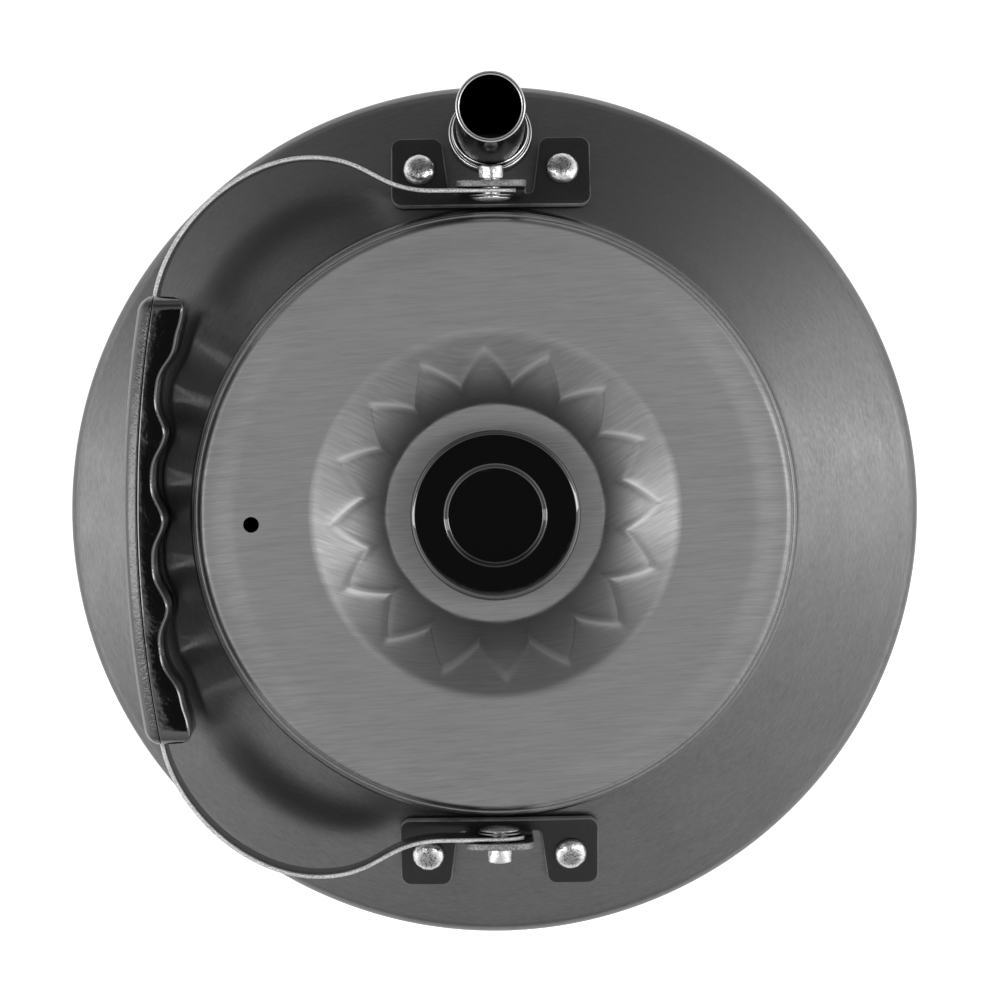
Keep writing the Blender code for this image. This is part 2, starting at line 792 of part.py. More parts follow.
def grip_outer_shell(parent, material):
    """The smooth outer shell, with sockets for the pegs."""
    shell = whole_grip("grip_outer_shell")
    boolean(shell, seam_roll("outer_shell_seam", seam_radius() + GAP / 2))
    boolean(shell, strap_channel("outer_shell_channel"))
    for number, place in enumerate(peg_places()):
        depth = PEG_LENGTH + GAP
        socket = cylinder(f"socket_{number}", PEG_RADIUS + GAP, 2 * depth)
        socket.matrix_world = place
        boolean(shell, socket)
    return finish(carried(as_mesh(shell), parent), material)


def grip_inner_shell(parent, material):
    """The grooved inner shell, with pegs that pass through the strap."""
    shell = whole_grip("grip_inner_shell")
    boolean(shell, seam_roll("inner_shell_seam", seam_radius() - GAP / 2), "INTERSECT")
    boolean(shell, strap_channel("inner_shell_channel"))
    shell = as_mesh(shell)
    for number, place in enumerate(peg_places()):
        root = STRAP_SHEET / 2 + 4 * GAP
        peg = cylinder(f"peg_{number}", PEG_RADIUS, PEG_LENGTH + root)
        peg.matrix_world = place @ Matrix.Translation((0, 0, (PEG_LENGTH - root) / 2))
        shell = joined(shell, peg)
    return finish(carried(shell, parent), material)


def carried(obj, parent):
    """Parent a piece that was made about its parent's origin."""
    obj.parent = parent
    return obj


# Lid

def lid_radius():
    """Outer radius of the lid's skirt, inside the neck."""
    return neck_radius() - BODY_SHEET - GAP


def well_floor():
    """Height of the finger well's floor."""
    return LID_PANEL_HEIGHT - WELL_DEPTH


def well_rise():
    """Slope of the finger well's wall."""
    return math.atan2(WELL_DEPTH, WELL_RADIUS - WELL_FLOOR_RADIUS)


def crease_radius():
    """Middle radius of the zigzag crease, halfway up the well's wall."""
    return (WELL_RADIUS + WELL_FLOOR_RADIUS) / 2


def well_line():
    """Upper face of the finger well, from its floor up and over its lip."""
    reach = math.tan(well_rise() / 2)
    tilt = math.degrees(well_rise())
    corner_centre = (WELL_FLOOR_RADIUS - WELL_CORNER * reach, well_floor() + WELL_CORNER)
    lip_centre = (WELL_RADIUS + WELL_LIP * reach, LID_PANEL_HEIGHT - WELL_LIP)
    line = arc(corner_centre, WELL_CORNER, -90, tilt - 90, 1)
    line += [(crease_radius(), well_floor() + WELL_DEPTH / 2)]
    line += arc(lip_centre, WELL_LIP, 90 + tilt, 90, 3)
    return line


def lid_line():
    """Upper face of the lid, from the screw hole out and down to the skirt's edge."""
    edge = lid_radius()
    rounding = (edge - LID_PANEL_ROUND, LID_PANEL_HEIGHT - LID_FALL - LID_PANEL_ROUND)
    line = [(SCREW_RADIUS + GAP, well_floor())]
    line += well_line()
    line += [(edge - LID_PANEL_ROUND - LID_FALL_RUN, LID_PANEL_HEIGHT)]
    line += arc(rounding, LID_PANEL_ROUND, 90, 0, 2)
    return line + [(edge, -LID_SKIRT_DEPTH)]


def bead_line():
    """The bead round the lid that rests on the neck's rim, from above to below."""
    half = LID_BEAD_HEIGHT / 2
    crest = (neck_radius() + LID_BEAD_OVERHANG - half, GAP + half)
    top = [(lid_radius(), GAP + LID_BEAD_HEIGHT)]
    return top + arc(crest, half, 90, -90, 4) + [(lid_radius(), GAP)]


def pleat_wall(mesh):
    """Swing the crease round the well in and out, which folds its wall into pleats."""
    for vertex in mesh.vertices:
        radius = math.hypot(vertex.co.x, vertex.co.y)
        if abs(radius - crease_radius()) > LID_SHEET:
            continue
        phase = math.atan2(vertex.co.y, vertex.co.x) * PLEATS / (2 * math.pi)
        swing = PLEAT_SWING * (1 - 4 * abs(phase - round(phase)))
        vertex.co.x *= 1 + swing / radius
        vertex.co.y *= 1 + swing / radius
        vertex.co.z += swing * math.tan(well_rise()) + PLEAT_CREST


def lid(parent, material):
    """The pressed lid with its pleated well, bead, skirt, vent and screw hole."""
    upper = lid_line()
    lower = offset_line(upper, LID_SHEET)
    profile = upper[:-1] + bead_line() + upper[-1:] + lower[::-1]
    solid = as_mesh(turned("lid", profile, LID_STEPS, closed=True))
    pleat_wall(solid.data)
    vent = cylinder("vent_hole", VENT_RADIUS, 3 * CUT_REACH)
    angle = VENT_ANGLE - LID_TURN
    distance = lid_radius() - VENT_INSET
    vent.location = (distance * math.cos(angle), distance * math.sin(angle), LID_PANEL_HEIGHT)
    boolean(solid, vent)
    solid = as_mesh(solid)
    solid.rotation_euler.z = LID_TURN
    return finish(carried(solid, parent), material)


def lid_knob(parent, material):
    """The dished knob on its stem, bored from below for the screw."""
    under = KNOB_TOP - KNOB_THICKNESS
    edge = KNOB_RADIUS - KNOB_EDGE_ROUND
    foot = well_floor() + GAP
    hole = SCREW_RADIUS + GAP
    profile = [
        (0.0, KNOB_TOP - KNOB_DISH_DEPTH),
        (KNOB_DISH_FLOOR_RADIUS, KNOB_TOP - KNOB_DISH_DEPTH),
        (KNOB_DISH_RADIUS, KNOB_TOP - KNOB_EDGE_ROUND / 3),
        (KNOB_DISH_RADIUS + KNOB_EDGE_ROUND / 2, KNOB_TOP),
    ]
    profile += arc((edge, KNOB_TOP - KNOB_EDGE_ROUND), KNOB_EDGE_ROUND, 90, 0, 3)
    profile += arc((edge, under + KNOB_EDGE_ROUND), KNOB_EDGE_ROUND, 0, -90, 3)
    profile += [
        (KNOB_STEM_RADIUS + KNOB_EDGE_ROUND, under),
        (KNOB_STEM_RADIUS, under - KNOB_EDGE_ROUND),
        (KNOB_STEM_RADIUS, foot),
        (hole, foot),
        (hole, foot + SCREW_REACH),
        (0.0, foot + SCREW_REACH),
    ]
    knob = turned("lid_knob", profile, KNOB_STEPS)
    return finish(carried(as_mesh(knob), parent), material)


def screw_washer_faces():
    """Upper and lower face of the washer under the well's floor."""
    top = well_floor() - LID_SHEET - GAP
    return top, top - SCREW_WASHER_SHEET


def knob_washer(parent, material):
    """The washer that spreads the screw's pull under the lid."""
    top, bottom = screw_washer_faces()
    radius = SCREW_RADIUS + SCREW_WASHER_RIM
    ring = washer("knob_washer", radius, SCREW_RADIUS + GAP, top, bottom)
    return finish(carried(as_mesh(ring), parent), material)


def knob_screw(parent, material):
    """The screw from under the lid into the knob, with a cross slot in its head."""
    head_top = screw_washer_faces()[1] - GAP
    head_bottom = head_top - SCREW_HEAD_HEIGHT
    head_radius = SCREW_RADIUS + SCREW_HEAD_RIM
    tip = well_floor() + SCREW_REACH
    rounding = SCREW_HEAD_HEIGHT / 2
    profile = [
        (0.0, tip),
        (SCREW_RADIUS, tip),
        (SCREW_RADIUS, head_top),
        (head_radius, head_top),
    ]
    profile += arc((head_radius - rounding, head_bottom + rounding), rounding, 0, -90, 3)
    profile += [(0.0, head_bottom)]
    screw = turned("knob_screw", profile)
    for name, size in (
        ("slot_across", (SCREW_SLOT_LENGTH, SCREW_SLOT_WIDTH, 2 * SCREW_SLOT_DEPTH)),
        ("slot_along", (SCREW_SLOT_WIDTH, SCREW_SLOT_LENGTH, 2 * SCREW_SLOT_DEPTH)),
    ):
        slot = block(name, size)
        slot.location.z = head_bottom
        boolean(screw, slot)
    return finish(carried(as_mesh(screw), parent), material)


def main():
    """Build the kettle."""
    for obj in list(bpy.data.objects):
        bpy.data.objects.remove(obj)
    anodised = principled("anodised_aluminium", ANODISED, 0.42, 0.9)
    brushed = principled("brushed_aluminium", BRUSHED, 0.40, 0.9)
    bracket_paint = principled("black_bracket", BLACK_PAINT, 0.45, 0.3)
    moulding = principled("black_moulding", BLACK_MOULDING, 0.18, 0.0)
    bright = principled("bright_metal", BRIGHT_METAL, 0.25, 1.0)
    steel = principled("strap_steel", STEEL, 0.30, 1.0)

    kettle_body(anodised)
    spout_tube(bright)
    spout_collar(bright)
    for end, side in (("front", 1), ("rear", -1)):
        bracket(f"{end}_bracket", side, bracket_paint)
        for hand, place in rivet_places(side).items():
            bracket_rivet(f"{end}_bracket_rivet_{hand}", place, bright)
        pivot_rivet(f"{end}_pivot_rivet", side, bright)
        pivot_washer(f"{end}_pivot_washer", side, steel)

    bail_axis = empty("bail_axis", (0.0, 0.0, pivot_height()))
    bail_strap(bail_axis, steel)
    grip_outer_shell(bail_axis, moulding)
    grip_inner_shell(bail_axis, moulding)

    lid_seat = empty("lid_seat", (0.0, 0.0, neck_top()))
    lid(lid_seat, brushed)
    lid_knob(lid_seat, moulding)
    knob_washer(lid_seat, steel)
    knob_screw(lid_seat, steel)
    bpy.context.view_layer.update()


main()
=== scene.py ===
"""Fine surfaces, finishes and studio for an ultralight camp kettle.

The file is laid out as an add-on and is run as a script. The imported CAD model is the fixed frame:
every piece below stands for one CAD node, keeps its place and size, and moves with its body.
The kettle stands on z = 0 about the z axis. Its pouring tube points to +y, and its bail lies folded
over -x. Lengths are in metres.
"""

import math

import bmesh
import bpy
from bpy.props import FloatProperty, FloatVectorProperty, IntProperty, PointerProperty
from mathutils import Matrix, Vector
from mathutils.geometry import interpolate_bezier


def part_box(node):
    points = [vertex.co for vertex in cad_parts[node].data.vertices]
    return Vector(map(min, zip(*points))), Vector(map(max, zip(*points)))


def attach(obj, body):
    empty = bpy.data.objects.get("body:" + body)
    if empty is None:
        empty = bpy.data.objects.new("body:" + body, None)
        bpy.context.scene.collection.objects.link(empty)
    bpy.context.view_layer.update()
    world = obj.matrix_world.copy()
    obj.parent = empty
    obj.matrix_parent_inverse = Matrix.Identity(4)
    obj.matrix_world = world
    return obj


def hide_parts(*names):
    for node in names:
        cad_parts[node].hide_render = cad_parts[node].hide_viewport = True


bl_info = {
    "name": "Camp kettle looks",
    "version": (1, 0, 0),
    "blender": (4, 5, 0),
    "location": "3D View > Sidebar > Kettle",
    "description": "Builds the fine surfaces, finishes and studio of a camp kettle",
    "category": "Add Mesh",
}

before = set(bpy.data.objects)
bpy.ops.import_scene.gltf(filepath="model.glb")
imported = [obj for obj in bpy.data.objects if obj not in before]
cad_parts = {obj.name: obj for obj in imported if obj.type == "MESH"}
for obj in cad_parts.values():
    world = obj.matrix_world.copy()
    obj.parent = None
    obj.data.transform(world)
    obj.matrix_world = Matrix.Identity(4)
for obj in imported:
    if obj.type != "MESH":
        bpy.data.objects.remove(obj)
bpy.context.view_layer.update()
BODY_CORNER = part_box("kettle_body")[1]
ENDS = (("front", 1), ("rear", -1))

# Clearance between pieces, distance at which points are one, and unit of a drill's length
GAP = 0.0003
MERGE = 1e-7
CUT = 0.004
# Roundings of crisp, eased and soft edges
CRISP = 0.0001
EASED = 0.0002
SOFT = 0.0004
# Steps round the shell, the lid and the small turned pieces, and in a quarter of a corner
RING_STEPS = 288
LID_STEPS = 576
TURNED_STEPS = 64
CORNER_STEPS = 7
# A face whose normal rises less than this stands upright
UPRIGHT = 0.3


# Settings

def length(name, description, default):
    """A length that a user may change."""
    return FloatProperty(
        name=name, description=description, default=default, min=0.0, precision=5, unit="LENGTH"
    )


def angle(name, description, default):
    """An angle that a user may change, given in degrees."""
    return FloatProperty(
        name=name, description=description, default=math.radians(default), subtype="ANGLE"
    )


def colour(name, description, default):
    """A colour that a user may change."""
    return FloatVectorProperty(
        name=name, description=description, default=default, size=3, min=0.0, max=1.0,
        subtype="COLOR",
    )


class KettleShellSizes(bpy.types.PropertyGroup):
    """Sizes of the spun shell"""

    radius: length("Radius", "Outer radius of the wall", BODY_CORNER[0])
    sheet: length("Sheet", "Thickness of the shell", 0.0009)
    base_corner: length("Base corner", "Outer radius of the base's corner", 0.009)
    edge_height: length("Edge height", "Height of the centre of the shoulder's edge", 0.0533746)
    edge_radius: length("Edge radius", "Outer radius of the shoulder's edge", 0.0035)
    slope: angle("Shoulder slope", "Fall of the shoulder from the neck outward", 21.0)
    neck_height: length("Neck height", "Height of the neck over the shoulder", 0.0042)
    neck_fillet: length("Neck fillet", "Radius where the neck meets the shoulder", 0.0016)
    neck_radius: length("Neck radius", "Outer radius of the neck", 0.0650022)


class KettleSpoutSizes(bpy.types.PropertyGroup):
    """Sizes of the pouring tube and the ring at its root"""

    place: length("Place", "Distance of the tube's root from the axis", 0.0818011)
    lean: angle("Lean", "Lean of the tube outward", 11.0)
    radius: length("Radius", "Outer radius of the tube", 0.0074)
    wall: length("Wall", "Wall of the tube", 0.00085)
    rise: length("Rise", "Height of the mouth over the root", 0.025099)
    flange_rim: length("Flange rim", "Width of the flange under the shoulder", 0.0014)
    flange_sheet: length("Flange sheet", "Thickness of the flange", 0.0008)
    flange_depth: length("Flange depth", "Depth of the flange under the shoulder's face", 0.0015)
    ring_rim: length("Ring rim", "Width of the ring round the root", 0.00165)
    ring_height: length("Ring height", "Height of the ring's outer step", 0.0011)
    bead_rim: length("Bead rim", "Width of the ring's inner bead", 0.00095)
    bead_height: length("Bead height", "Height of the ring's inner bead", 0.0024)


class KettleBracketSizes(bpy.types.PropertyGroup):
    """Sizes of the brackets, their rivets and the bail's pins"""

    sheet: length("Sheet", "Thickness of a bracket", 0.0015)
    width: length("Width", "Width of a bracket", 0.0427)
    depth: length("Depth", "Depth of a bracket from inner to outer edge", 0.0148)
    lip: length("Lip", "Part of a bracket on the lid's side of its ear", 0.0043)
    corner: length("Corner", "Radius of a bracket's corners", 0.0022)
    mouth: length("Cut-out mouth", "Half width of the cut-out at its mouth", 0.0105)
    neck: length("Cut-out neck", "Half width of the cut-out at its root", 0.0089)
    edge_round: length("Edge rounding", "Rounding of a bracket's edges", 0.00032)
    ear_place: length("Ear place", "Distance of an ear's lid-side face from the axis", 0.0700022)
    ear_width: length("Ear width", "Width of an ear", 0.0149)
    ear_above_pin: length("Ear above pin", "Height of an ear over the bail's axis", 0.0062)
    ear_corner: length("Ear corner", "Radius of an ear's upper corners", 0.0045)
    bend: length("Bend", "Inner radius of the bend below an ear", 0.0007)
    rivet_across: length("Rivet across", "Distance of a rivet from the bracket's middle", 0.0153)
    rivet_beyond: length("Rivet beyond ear", "Distance of the rivets beyond the ear", 0.0035)
    rivet_head: length("Rivet head", "Radius of a bracket rivet's head", 0.0035)
    rivet_dome: length("Rivet dome", "Height of a bracket rivet's head", 0.0021)
    pin_radius: length("Pin radius", "Radius of a pin's shank", 0.0021)
    pin_head: length("Pin head", "Radius of a pin's head", 0.0043)
    pin_dome: length("Pin dome", "Height of a pin's head", 0.0009)
    pin_tail: length("Pin tail", "Radius of a pin's tail", 0.0027)
    pin_tail_length: length("Pin tail length", "Length of a pin's tail beyond the ear", 0.0029)
    washer_radius: length("Washer radius", "Radius of the washer under a pin's head", 0.0047)
    washer_sheet: length("Washer sheet", "Thickness of that washer", 0.0004)


class KettleBailSizes(bpy.types.PropertyGroup):
    """Sizes of the bail's strap and grip"""

    axis_height: length("Axis height", "Height of the bail's axis", 0.0740361)
    sheet: length("Strap sheet", "Thickness of the strap", 0.0009)
    width: length("Strap width", "Width of the strap", 0.011)
    place: length("Strap place", "Distance of the strap's middle from the axis at a pin", 0.0692522)
    spread: length("Strap spread", "Greatest distance of the strap's middle along y", 0.0766022)
    grip_reach: length("Grip reach", "Distance of the grip's outer face from the pins", 0.079)
    grip_length: length("Grip length", "Length of the grip", 0.0952)
    grip_width: length("Grip width", "Height of the grip as it lies folded", 0.0195)
    grip_depth: length("Grip depth", "Mean depth of the grip", 0.0076)
    grip_arc: length("Grip arc", "Radius of the grip's outer face in plan", 0.27)
    groove_pitch: length("Groove pitch", "Distance between finger grooves", 0.0183)
    groove_swing: length("Groove swing", "Half the depth of a finger groove", 0.0012)
    end_swell: length("End swell", "Extra depth of the grip at its ends", 0.0011)
    seam_depth: length("Seam depth", "Depth of the seam behind the outer face", 0.00295)
    front_round: length("Front rounding", "Rounding of the grooved shell's long edges", 0.0007)


class KettleLidSizes(bpy.types.PropertyGroup):
    """Sizes of the lid and its knob, with heights from the top of the neck"""

    seat: length("Seat", "Height of the neck's rim", 0.0705355)
    radius: length("Radius", "Outer radius of the lid's skirt", 0.0638022)
    sheet: length("Sheet", "Thickness of the lid", 0.0008)
    turn: angle("Turn", "How far the lid is turned on the kettle", 3.2)
    panel_height: length("Panel height", "Height of the panel", 0.0029)
    panel_round: length("Panel rounding", "Rounding of the panel's edge", 0.0014)
    fall: length("Fall", "Fall of the panel towards its edge", 0.0003)
    fall_run: length("Fall run", "Width of the zone that falls", 0.007)
    skirt: length("Skirt", "Depth of the skirt below the neck's rim", 0.009)
    floor_radius: length("Floor radius", "Radius of the finger well's floor", 0.0235)
    well_depth: length("Well depth", "Depth of the finger well", 0.0085)
    well_radius: length("Well radius", "Radius of the finger well at the panel", 0.0391)
    well_lip: length("Well lip", "Rounding of the finger well's lip", 0.006)
    well_foot: length("Well foot", "Rounding at the foot of the finger well's wall", 0.0012)
    pleats: IntProperty(name="Pleats", description="Pleats round the finger well", default=16)
    pleat_swing: length("Pleat swing", "Half the radial reach of the zigzag fold", 0.00375)
    pleat_crest: length("Pleat crest", "Rise of the fold over the straight wall", 0.00012)
    ridge_width: length("Ridge width", "Width of the rounded ridge along the fold", 0.00095)
    ridge_height: length("Ridge height", "Height of the rounded ridge along the fold", 0.00010)
    vent_radius: length("Vent radius", "Radius of the vent hole", 0.0017)
    vent_place: length("Vent place", "Distance of the vent hole from the axis", 0.0524)
    vent_angle: angle("Vent angle", "Place of the vent hole round the lid", 181.6)
    knob_radius: length("Knob radius", "Radius of the knob", 0.0184)
    knob_top: length("Knob top", "Height of the knob", 0.006)
    knob_thickness: length("Knob thickness", "Thickness of the knob's disc", 0.007)
    knob_stem: length("Knob stem", "Radius of the knob's stem", 0.0078)
    dish_radius: length("Dish radius", "Radius of the knob's dish at its top", 0.0108)
    dish_floor: length("Dish floor", "Radius of the knob's dish at its floor", 0.0103)
    dish_depth: length("Dish depth", "Depth of the knob's dish", 0.0017)


class KettleColours(bpy.types.PropertyGroup):
    """Colours of the finishes"""

    shell: colour("Shell", "Hard-anodised shell", (0.195, 0.195, 0.198))
    lid: colour("Lid", "Hard-anodised brushed lid", (0.29, 0.29, 0.29))
    bright: colour("Bright metal", "Tube, ring and rivets", (0.40, 0.40, 0.40))
    steel: colour("Strap steel", "Strap, washers and screw", (0.26, 0.257, 0.252))
    paint: colour("Bracket paint", "Satin black brackets", (0.008, 0.008, 0.0085))
    sheared: colour("Sheared edge", "Bare cut edge of an ear", (0.30, 0.30, 0.30))
    moulding: colour("Moulding", "Black grip and knob", (0.0016, 0.0016, 0.0018))
    floor: colour("Floor", "Studio floor", (0.86, 0.86, 0.86))


class KettleSettings(bpy.types.PropertyGroup):
    """All settings of the kettle"""

    shell: PointerProperty(type=KettleShellSizes)
    spout: PointerProperty(type=KettleSpoutSizes)
    bracket: PointerProperty(type=KettleBracketSizes)
    bail: PointerProperty(type=KettleBailSizes)
    lid: PointerProperty(type=KettleLidSizes)
    colours: PointerProperty(type=KettleColours)


def settings():
    """The kettle's settings in this scene."""
    return bpy.context.scene.kettle


# Lines

def arc(centre, radius, start, end, steps=CORNER_STEPS):
    """Points on an arc, with angles in degrees."""
    angles = [math.radians(start + (end - start) * i / steps) for i in range(steps + 1)]
    return [(centre[0] + radius * math.cos(a), centre[1] + radius * math.sin(a)) for a in angles]


def full_turn(steps):
    """Evenly spaced angles round a circle."""
    return [2 * math.pi * i / steps for i in range(steps)]


def circle(radius, height, angles):
    """Points on a level circle about the z axis."""
    return [(radius * math.cos(a), radius * math.sin(a), height) for a in angles]


def smooth_step(value):
    """A value held between 0 and 1, with soft ends."""
    value = min(max(value, 0.0), 1.0)
    return value * value * (3 - 2 * value)


def offset_line(points, distance):
    """The line moved sideways by distance, to the right of the way it runs."""
    line = [Vector(p) for p in points]
    normals = []
    for start, end in zip(line, line[1:]):
        run = (end - start).normalized()
        normals.append(Vector((run.y, -run.x)))
    before = [normals[0]] + normals
    after = normals + [normals[-1]]
    moved = []
    for point, first, second in zip(line, before, after):
        middle = (first + second).normalized()
        moved.append(tuple(point + middle * (distance / middle.dot(first))))
    return moved


def rounded(corners, closed=True):
    """A line through corners of (x, y, radius), each rounded by an arc."""
    line = []
    count = len(corners)
    for i, (x, y, radius) in enumerate(corners):
        at_end = not closed and i in (0, count - 1)
        if radius == 0 or at_end:
            line.append((x, y))
            continue
        corner = Vector((x, y))
        back = (Vector(corners[i - 1][:2]) - corner).normalized()
        ahead = (Vector(corners[(i + 1) % count][:2]) - corner).normalized()
        half = back.angle(ahead) / 2
        centre = corner + (back + ahead).normalized() * (radius / math.sin(half))
        start = corner + back * (radius / math.tan(half)) - centre
        turn = start.angle_signed(corner + ahead * (radius / math.tan(half)) - centre)
        steps = max(2, round(abs(turn) * 2 * CORNER_STEPS / math.pi))
        for step in range(steps + 1):
            spoke = start.copy()
            spoke.rotate(Matrix.Rotation(-turn * step / steps, 2))
            line.append(tuple(centre + spoke))
    return line


# Meshes

def as_object(name, shape):
    """An object made from a bmesh, with near points merged and faces turned outward."""
    bmesh.ops.remove_doubles(shape, verts=shape.verts, dist=MERGE)
    bmesh.ops.recalc_face_normals(shape, faces=shape.faces)
    mesh = bpy.data.meshes.new(name)
    shape.to_mesh(mesh)
    shape.free()
    obj = bpy.data.objects.new(name, mesh)
    bpy.context.scene.collection.objects.link(obj)
    return obj


def skin(name, rings, closed=False):
    """A smooth mesh through rings of points. It is capped, or its last ring meets its first."""
    shape = bmesh.new()
    brush = shape.loops.layers.uv.new("brush")
    rows = [[shape.verts.new(point) for point in ring] for ring in rings]
    count = len(rows[0])
    pairs = list(zip(range(len(rows)), range(1, len(rows))))
    if closed:
        pairs.append((len(rows) - 1, 0))
    for low, high in pairs:
        for i in range(count):
            j = (i + 1) % count
            face = shape.faces.new((rows[low][i], rows[low][j], rows[high][j], rows[high][i]))
            across = (i, i + 1, i + 1, i)
            along = (low, low, low + 1, low + 1)
            for loop, u, v in zip(face.loops, across, along):
                loop[brush].uv = (u / count, v / len(rows))
    if not closed:
        shape.faces.new(rows[0][::-1])
        shape.faces.new(rows[-1])
    return as_object(name, shape)


def turned(name, profile, steps=TURNED_STEPS, closed=False):
    """A piece turned about its own z axis from a profile of (radius, height).

    A profile that isn't closed starts and ends on the axis, where the piece gets a flat fan.
    """
    angles = full_turn(steps)
    rings = [circle(radius, height, angles) for radius, height in profile]
    if closed:
        return skin(name, rings, closed=True)
    obj = skin(name, rings[1:-1])
    shape = bmesh.new()
    shape.from_mesh(obj.data)
    bmesh.ops.poke(shape, faces=[face for face in shape.faces if len(face.verts) > 4])
    shape.to_mesh(obj.data)
    shape.free()
    return obj


def cutter(radius, span, place, steps=TURNED_STEPS):
    """A drill along the z axis of a frame."""
    shape = bmesh.new()
    bmesh.ops.create_cone(
        shape, cap_ends=True, segments=steps, radius1=radius, radius2=radius, depth=span
    )
    tool = as_object("drill", shape)
    tool.matrix_world = place
    return tool


def cut(obj, tools):
    """Cut tools out of a piece and remove them."""
    for tool in tools:
        step = obj.modifiers.new("cut", "BOOLEAN")
        step.operation = "DIFFERENCE"
        step.object = tool
    bpy.context.view_layer.update()
    evaluated = obj.evaluated_get(bpy.context.evaluated_depsgraph_get())
    mesh = bpy.data.meshes.new_from_object(evaluated)
    obj.modifiers.clear()
    obj.data = mesh
    for tool in tools:
        bpy.data.objects.remove(tool)


def finish_named(key):
    """One of the kettle's materials, by its key."""
    return bpy.data.materials[f"fine_{key}"]


def dress(obj, *keys, sharp=38.0):
    """Give a piece its finishes and shade its rounded faces smooth."""
    for key in keys:
        obj.data.materials.append(finish_named(key))
    obj.data.shade_smooth()
    obj.data.set_sharp_from_angle(angle=math.radians(sharp))


# Nodes

def feed(tree, node, inputs):
    """Give a node's inputs their values and links."""
    for key, value in inputs.items():
        if isinstance(value, bpy.types.NodeSocket):
            tree.links.new(value, node.inputs[key])
        else:
            node.inputs[key].default_value = value


def put(tree, kind, inputs=None, **options):
    """Add a node, with its options, values and links."""
    made = tree.nodes.new(kind)
    for name, value in options.items():
        setattr(made, name, value)
    feed(tree, made, inputs or {})
    return made


def maths(tree, operation, *values):
    """The result of one Math node."""
    return put(tree, "ShaderNodeMath", dict(enumerate(values)), operation=operation).outputs[0]


def total(tree, *parts):
    """The sum of two values, each given with its share."""
    return maths(tree, "ADD", *[maths(tree, "MULTIPLY", *part) for part in parts])


def spread(tree, value, low, high, to_low=0.0, to_high=1.0):
    """A value stretched from one range to another."""
    source = {"Value": value, "From Min": low, "From Max": high}
    goal = {"To Min": to_low, "To Max": to_high}
    return put(tree, "ShaderNodeMapRange", source | goal).outputs["Result"]


def tint(tree, factor, dark, light):
    """A colour between two, by a factor."""
    inputs = {0: factor, 6: (*dark, 1.0), 7: (*light, 1.0)}
    return put(tree, "ShaderNodeMix", inputs, data_type="RGBA").outputs[2]


def shade(base, amount):
    """A colour made lighter or darker by a factor."""
    return tuple(min(1.0, channel * amount) for channel in base)


def noise(tree, vector, scale, detail=2.0, rough=0.5):
    """A noise value about 0.5."""
    inputs = {"Vector": vector, "Scale": scale, "Detail": detail, "Roughness": rough}
    return put(tree, "ShaderNodeTexNoise", inputs).outputs["Fac"]


def own_place(tree):
    """Coordinates in the piece's own frame."""
    return put(tree, "ShaderNodeTexCoord").outputs["Object"]


def from_axis(tree, parts):
    """The way from the z axis to a place, and its length."""
    way = put(tree, "ShaderNodeCombineXYZ", {0: parts[0], 1: parts[1]}).outputs[0]
    return way, put(tree, "ShaderNodeVectorMath", {0: way}, operation="LENGTH").outputs["Value"]


def new_group(name, inputs, outputs):
    """An empty shader node group with float inputs and float outputs."""
    tree = bpy.data.node_groups.new(name, "ShaderNodeTree")
    kind = {"socket_type": "NodeSocketFloat"}
    for label, default in inputs.items():
        socket = tree.interface.new_socket(name=label, in_out="INPUT", **kind)
        socket.default_value = default
    for label in outputs:
        tree.interface.new_socket(name=label, in_out="OUTPUT", **kind)
    return tree, tree.nodes.new("NodeGroupInput"), tree.nodes.new("NodeGroupOutput")


# Radius at which round brushing has the same reach as straight brushing
BRUSHED_RADIUS = 0.1
# Shares of the fineness and reach asked for that the lines and the streaks get
BRUSH_SHARES = {"Lines": 1.0, "Streaks": 0.16}


def brushing(name, round_axis):
    """Fine lines and soft streaks, which run round the z axis or straight along local x."""
    tree, given, result = new_group(name, {"Fineness": 3000.0, "Reach": 60.0}, BRUSH_SHARES)
    parts = put(tree, "ShaderNodeSeparateXYZ", {0: own_place(tree)}).outputs
    if round_axis:
        flat, radius = from_axis(tree, parts)
        way = put(tree, "ShaderNodeVectorMath", {0: flat}, operation="NORMALIZE").outputs[0]
        around = put(tree, "ShaderNodeSeparateXYZ", {0: way}).outputs
        across = maths(tree, "SUBTRACT", radius, parts[2])
        first, second = [maths(tree, "MULTIPLY", around[i], BRUSHED_RADIUS) for i in (0, 1)]
    else:
        across = maths(tree, "SUBTRACT", parts[1], parts[2])
        first, second = parts[0], parts[2]
    for label, share in BRUSH_SHARES.items():
        reach = maths(tree, "MULTIPLY", given.outputs["Reach"], share)
        fine = maths(tree, "MULTIPLY", given.outputs["Fineness"], share)
        vector = put(tree, "ShaderNodeCombineXYZ", {
            0: maths(tree, "MULTIPLY", first, reach),
            1: maths(tree, "MULTIPLY", second, reach),
            2: maths(tree, "MULTIPLY", across, fine),
        }).outputs[0]
        value = noise(tree, vector, 1.0, detail=3.0, rough=0.6)
        tree.links.new(spread(tree, value, 0.28, 0.72), result.inputs[label])


def clouding():
    """Soft uneven patches, as handling and heat leave on metal and plastic, and specks."""
    tree, given, result = new_group("clouding", {"Size": 60.0}, ("Cloud", "Specks"))
    place = own_place(tree)
    cloud = noise(tree, place, given.outputs["Size"], detail=4.0, rough=0.55)
    tree.links.new(spread(tree, cloud, 0.3, 0.7), result.inputs["Cloud"])
    grain = maths(tree, "MULTIPLY", given.outputs["Size"], 30.0)
    speck = noise(tree, place, grain, detail=1.0)
    tree.links.new(spread(tree, speck, 0.62, 0.74), result.inputs["Specks"])


def place_group(tree, name, **values):
    """The outputs of a shared node group, placed in a material with its own values."""
    return put(tree, "ShaderNodeGroup", values, node_tree=bpy.data.node_groups[name]).outputs


# Finishes

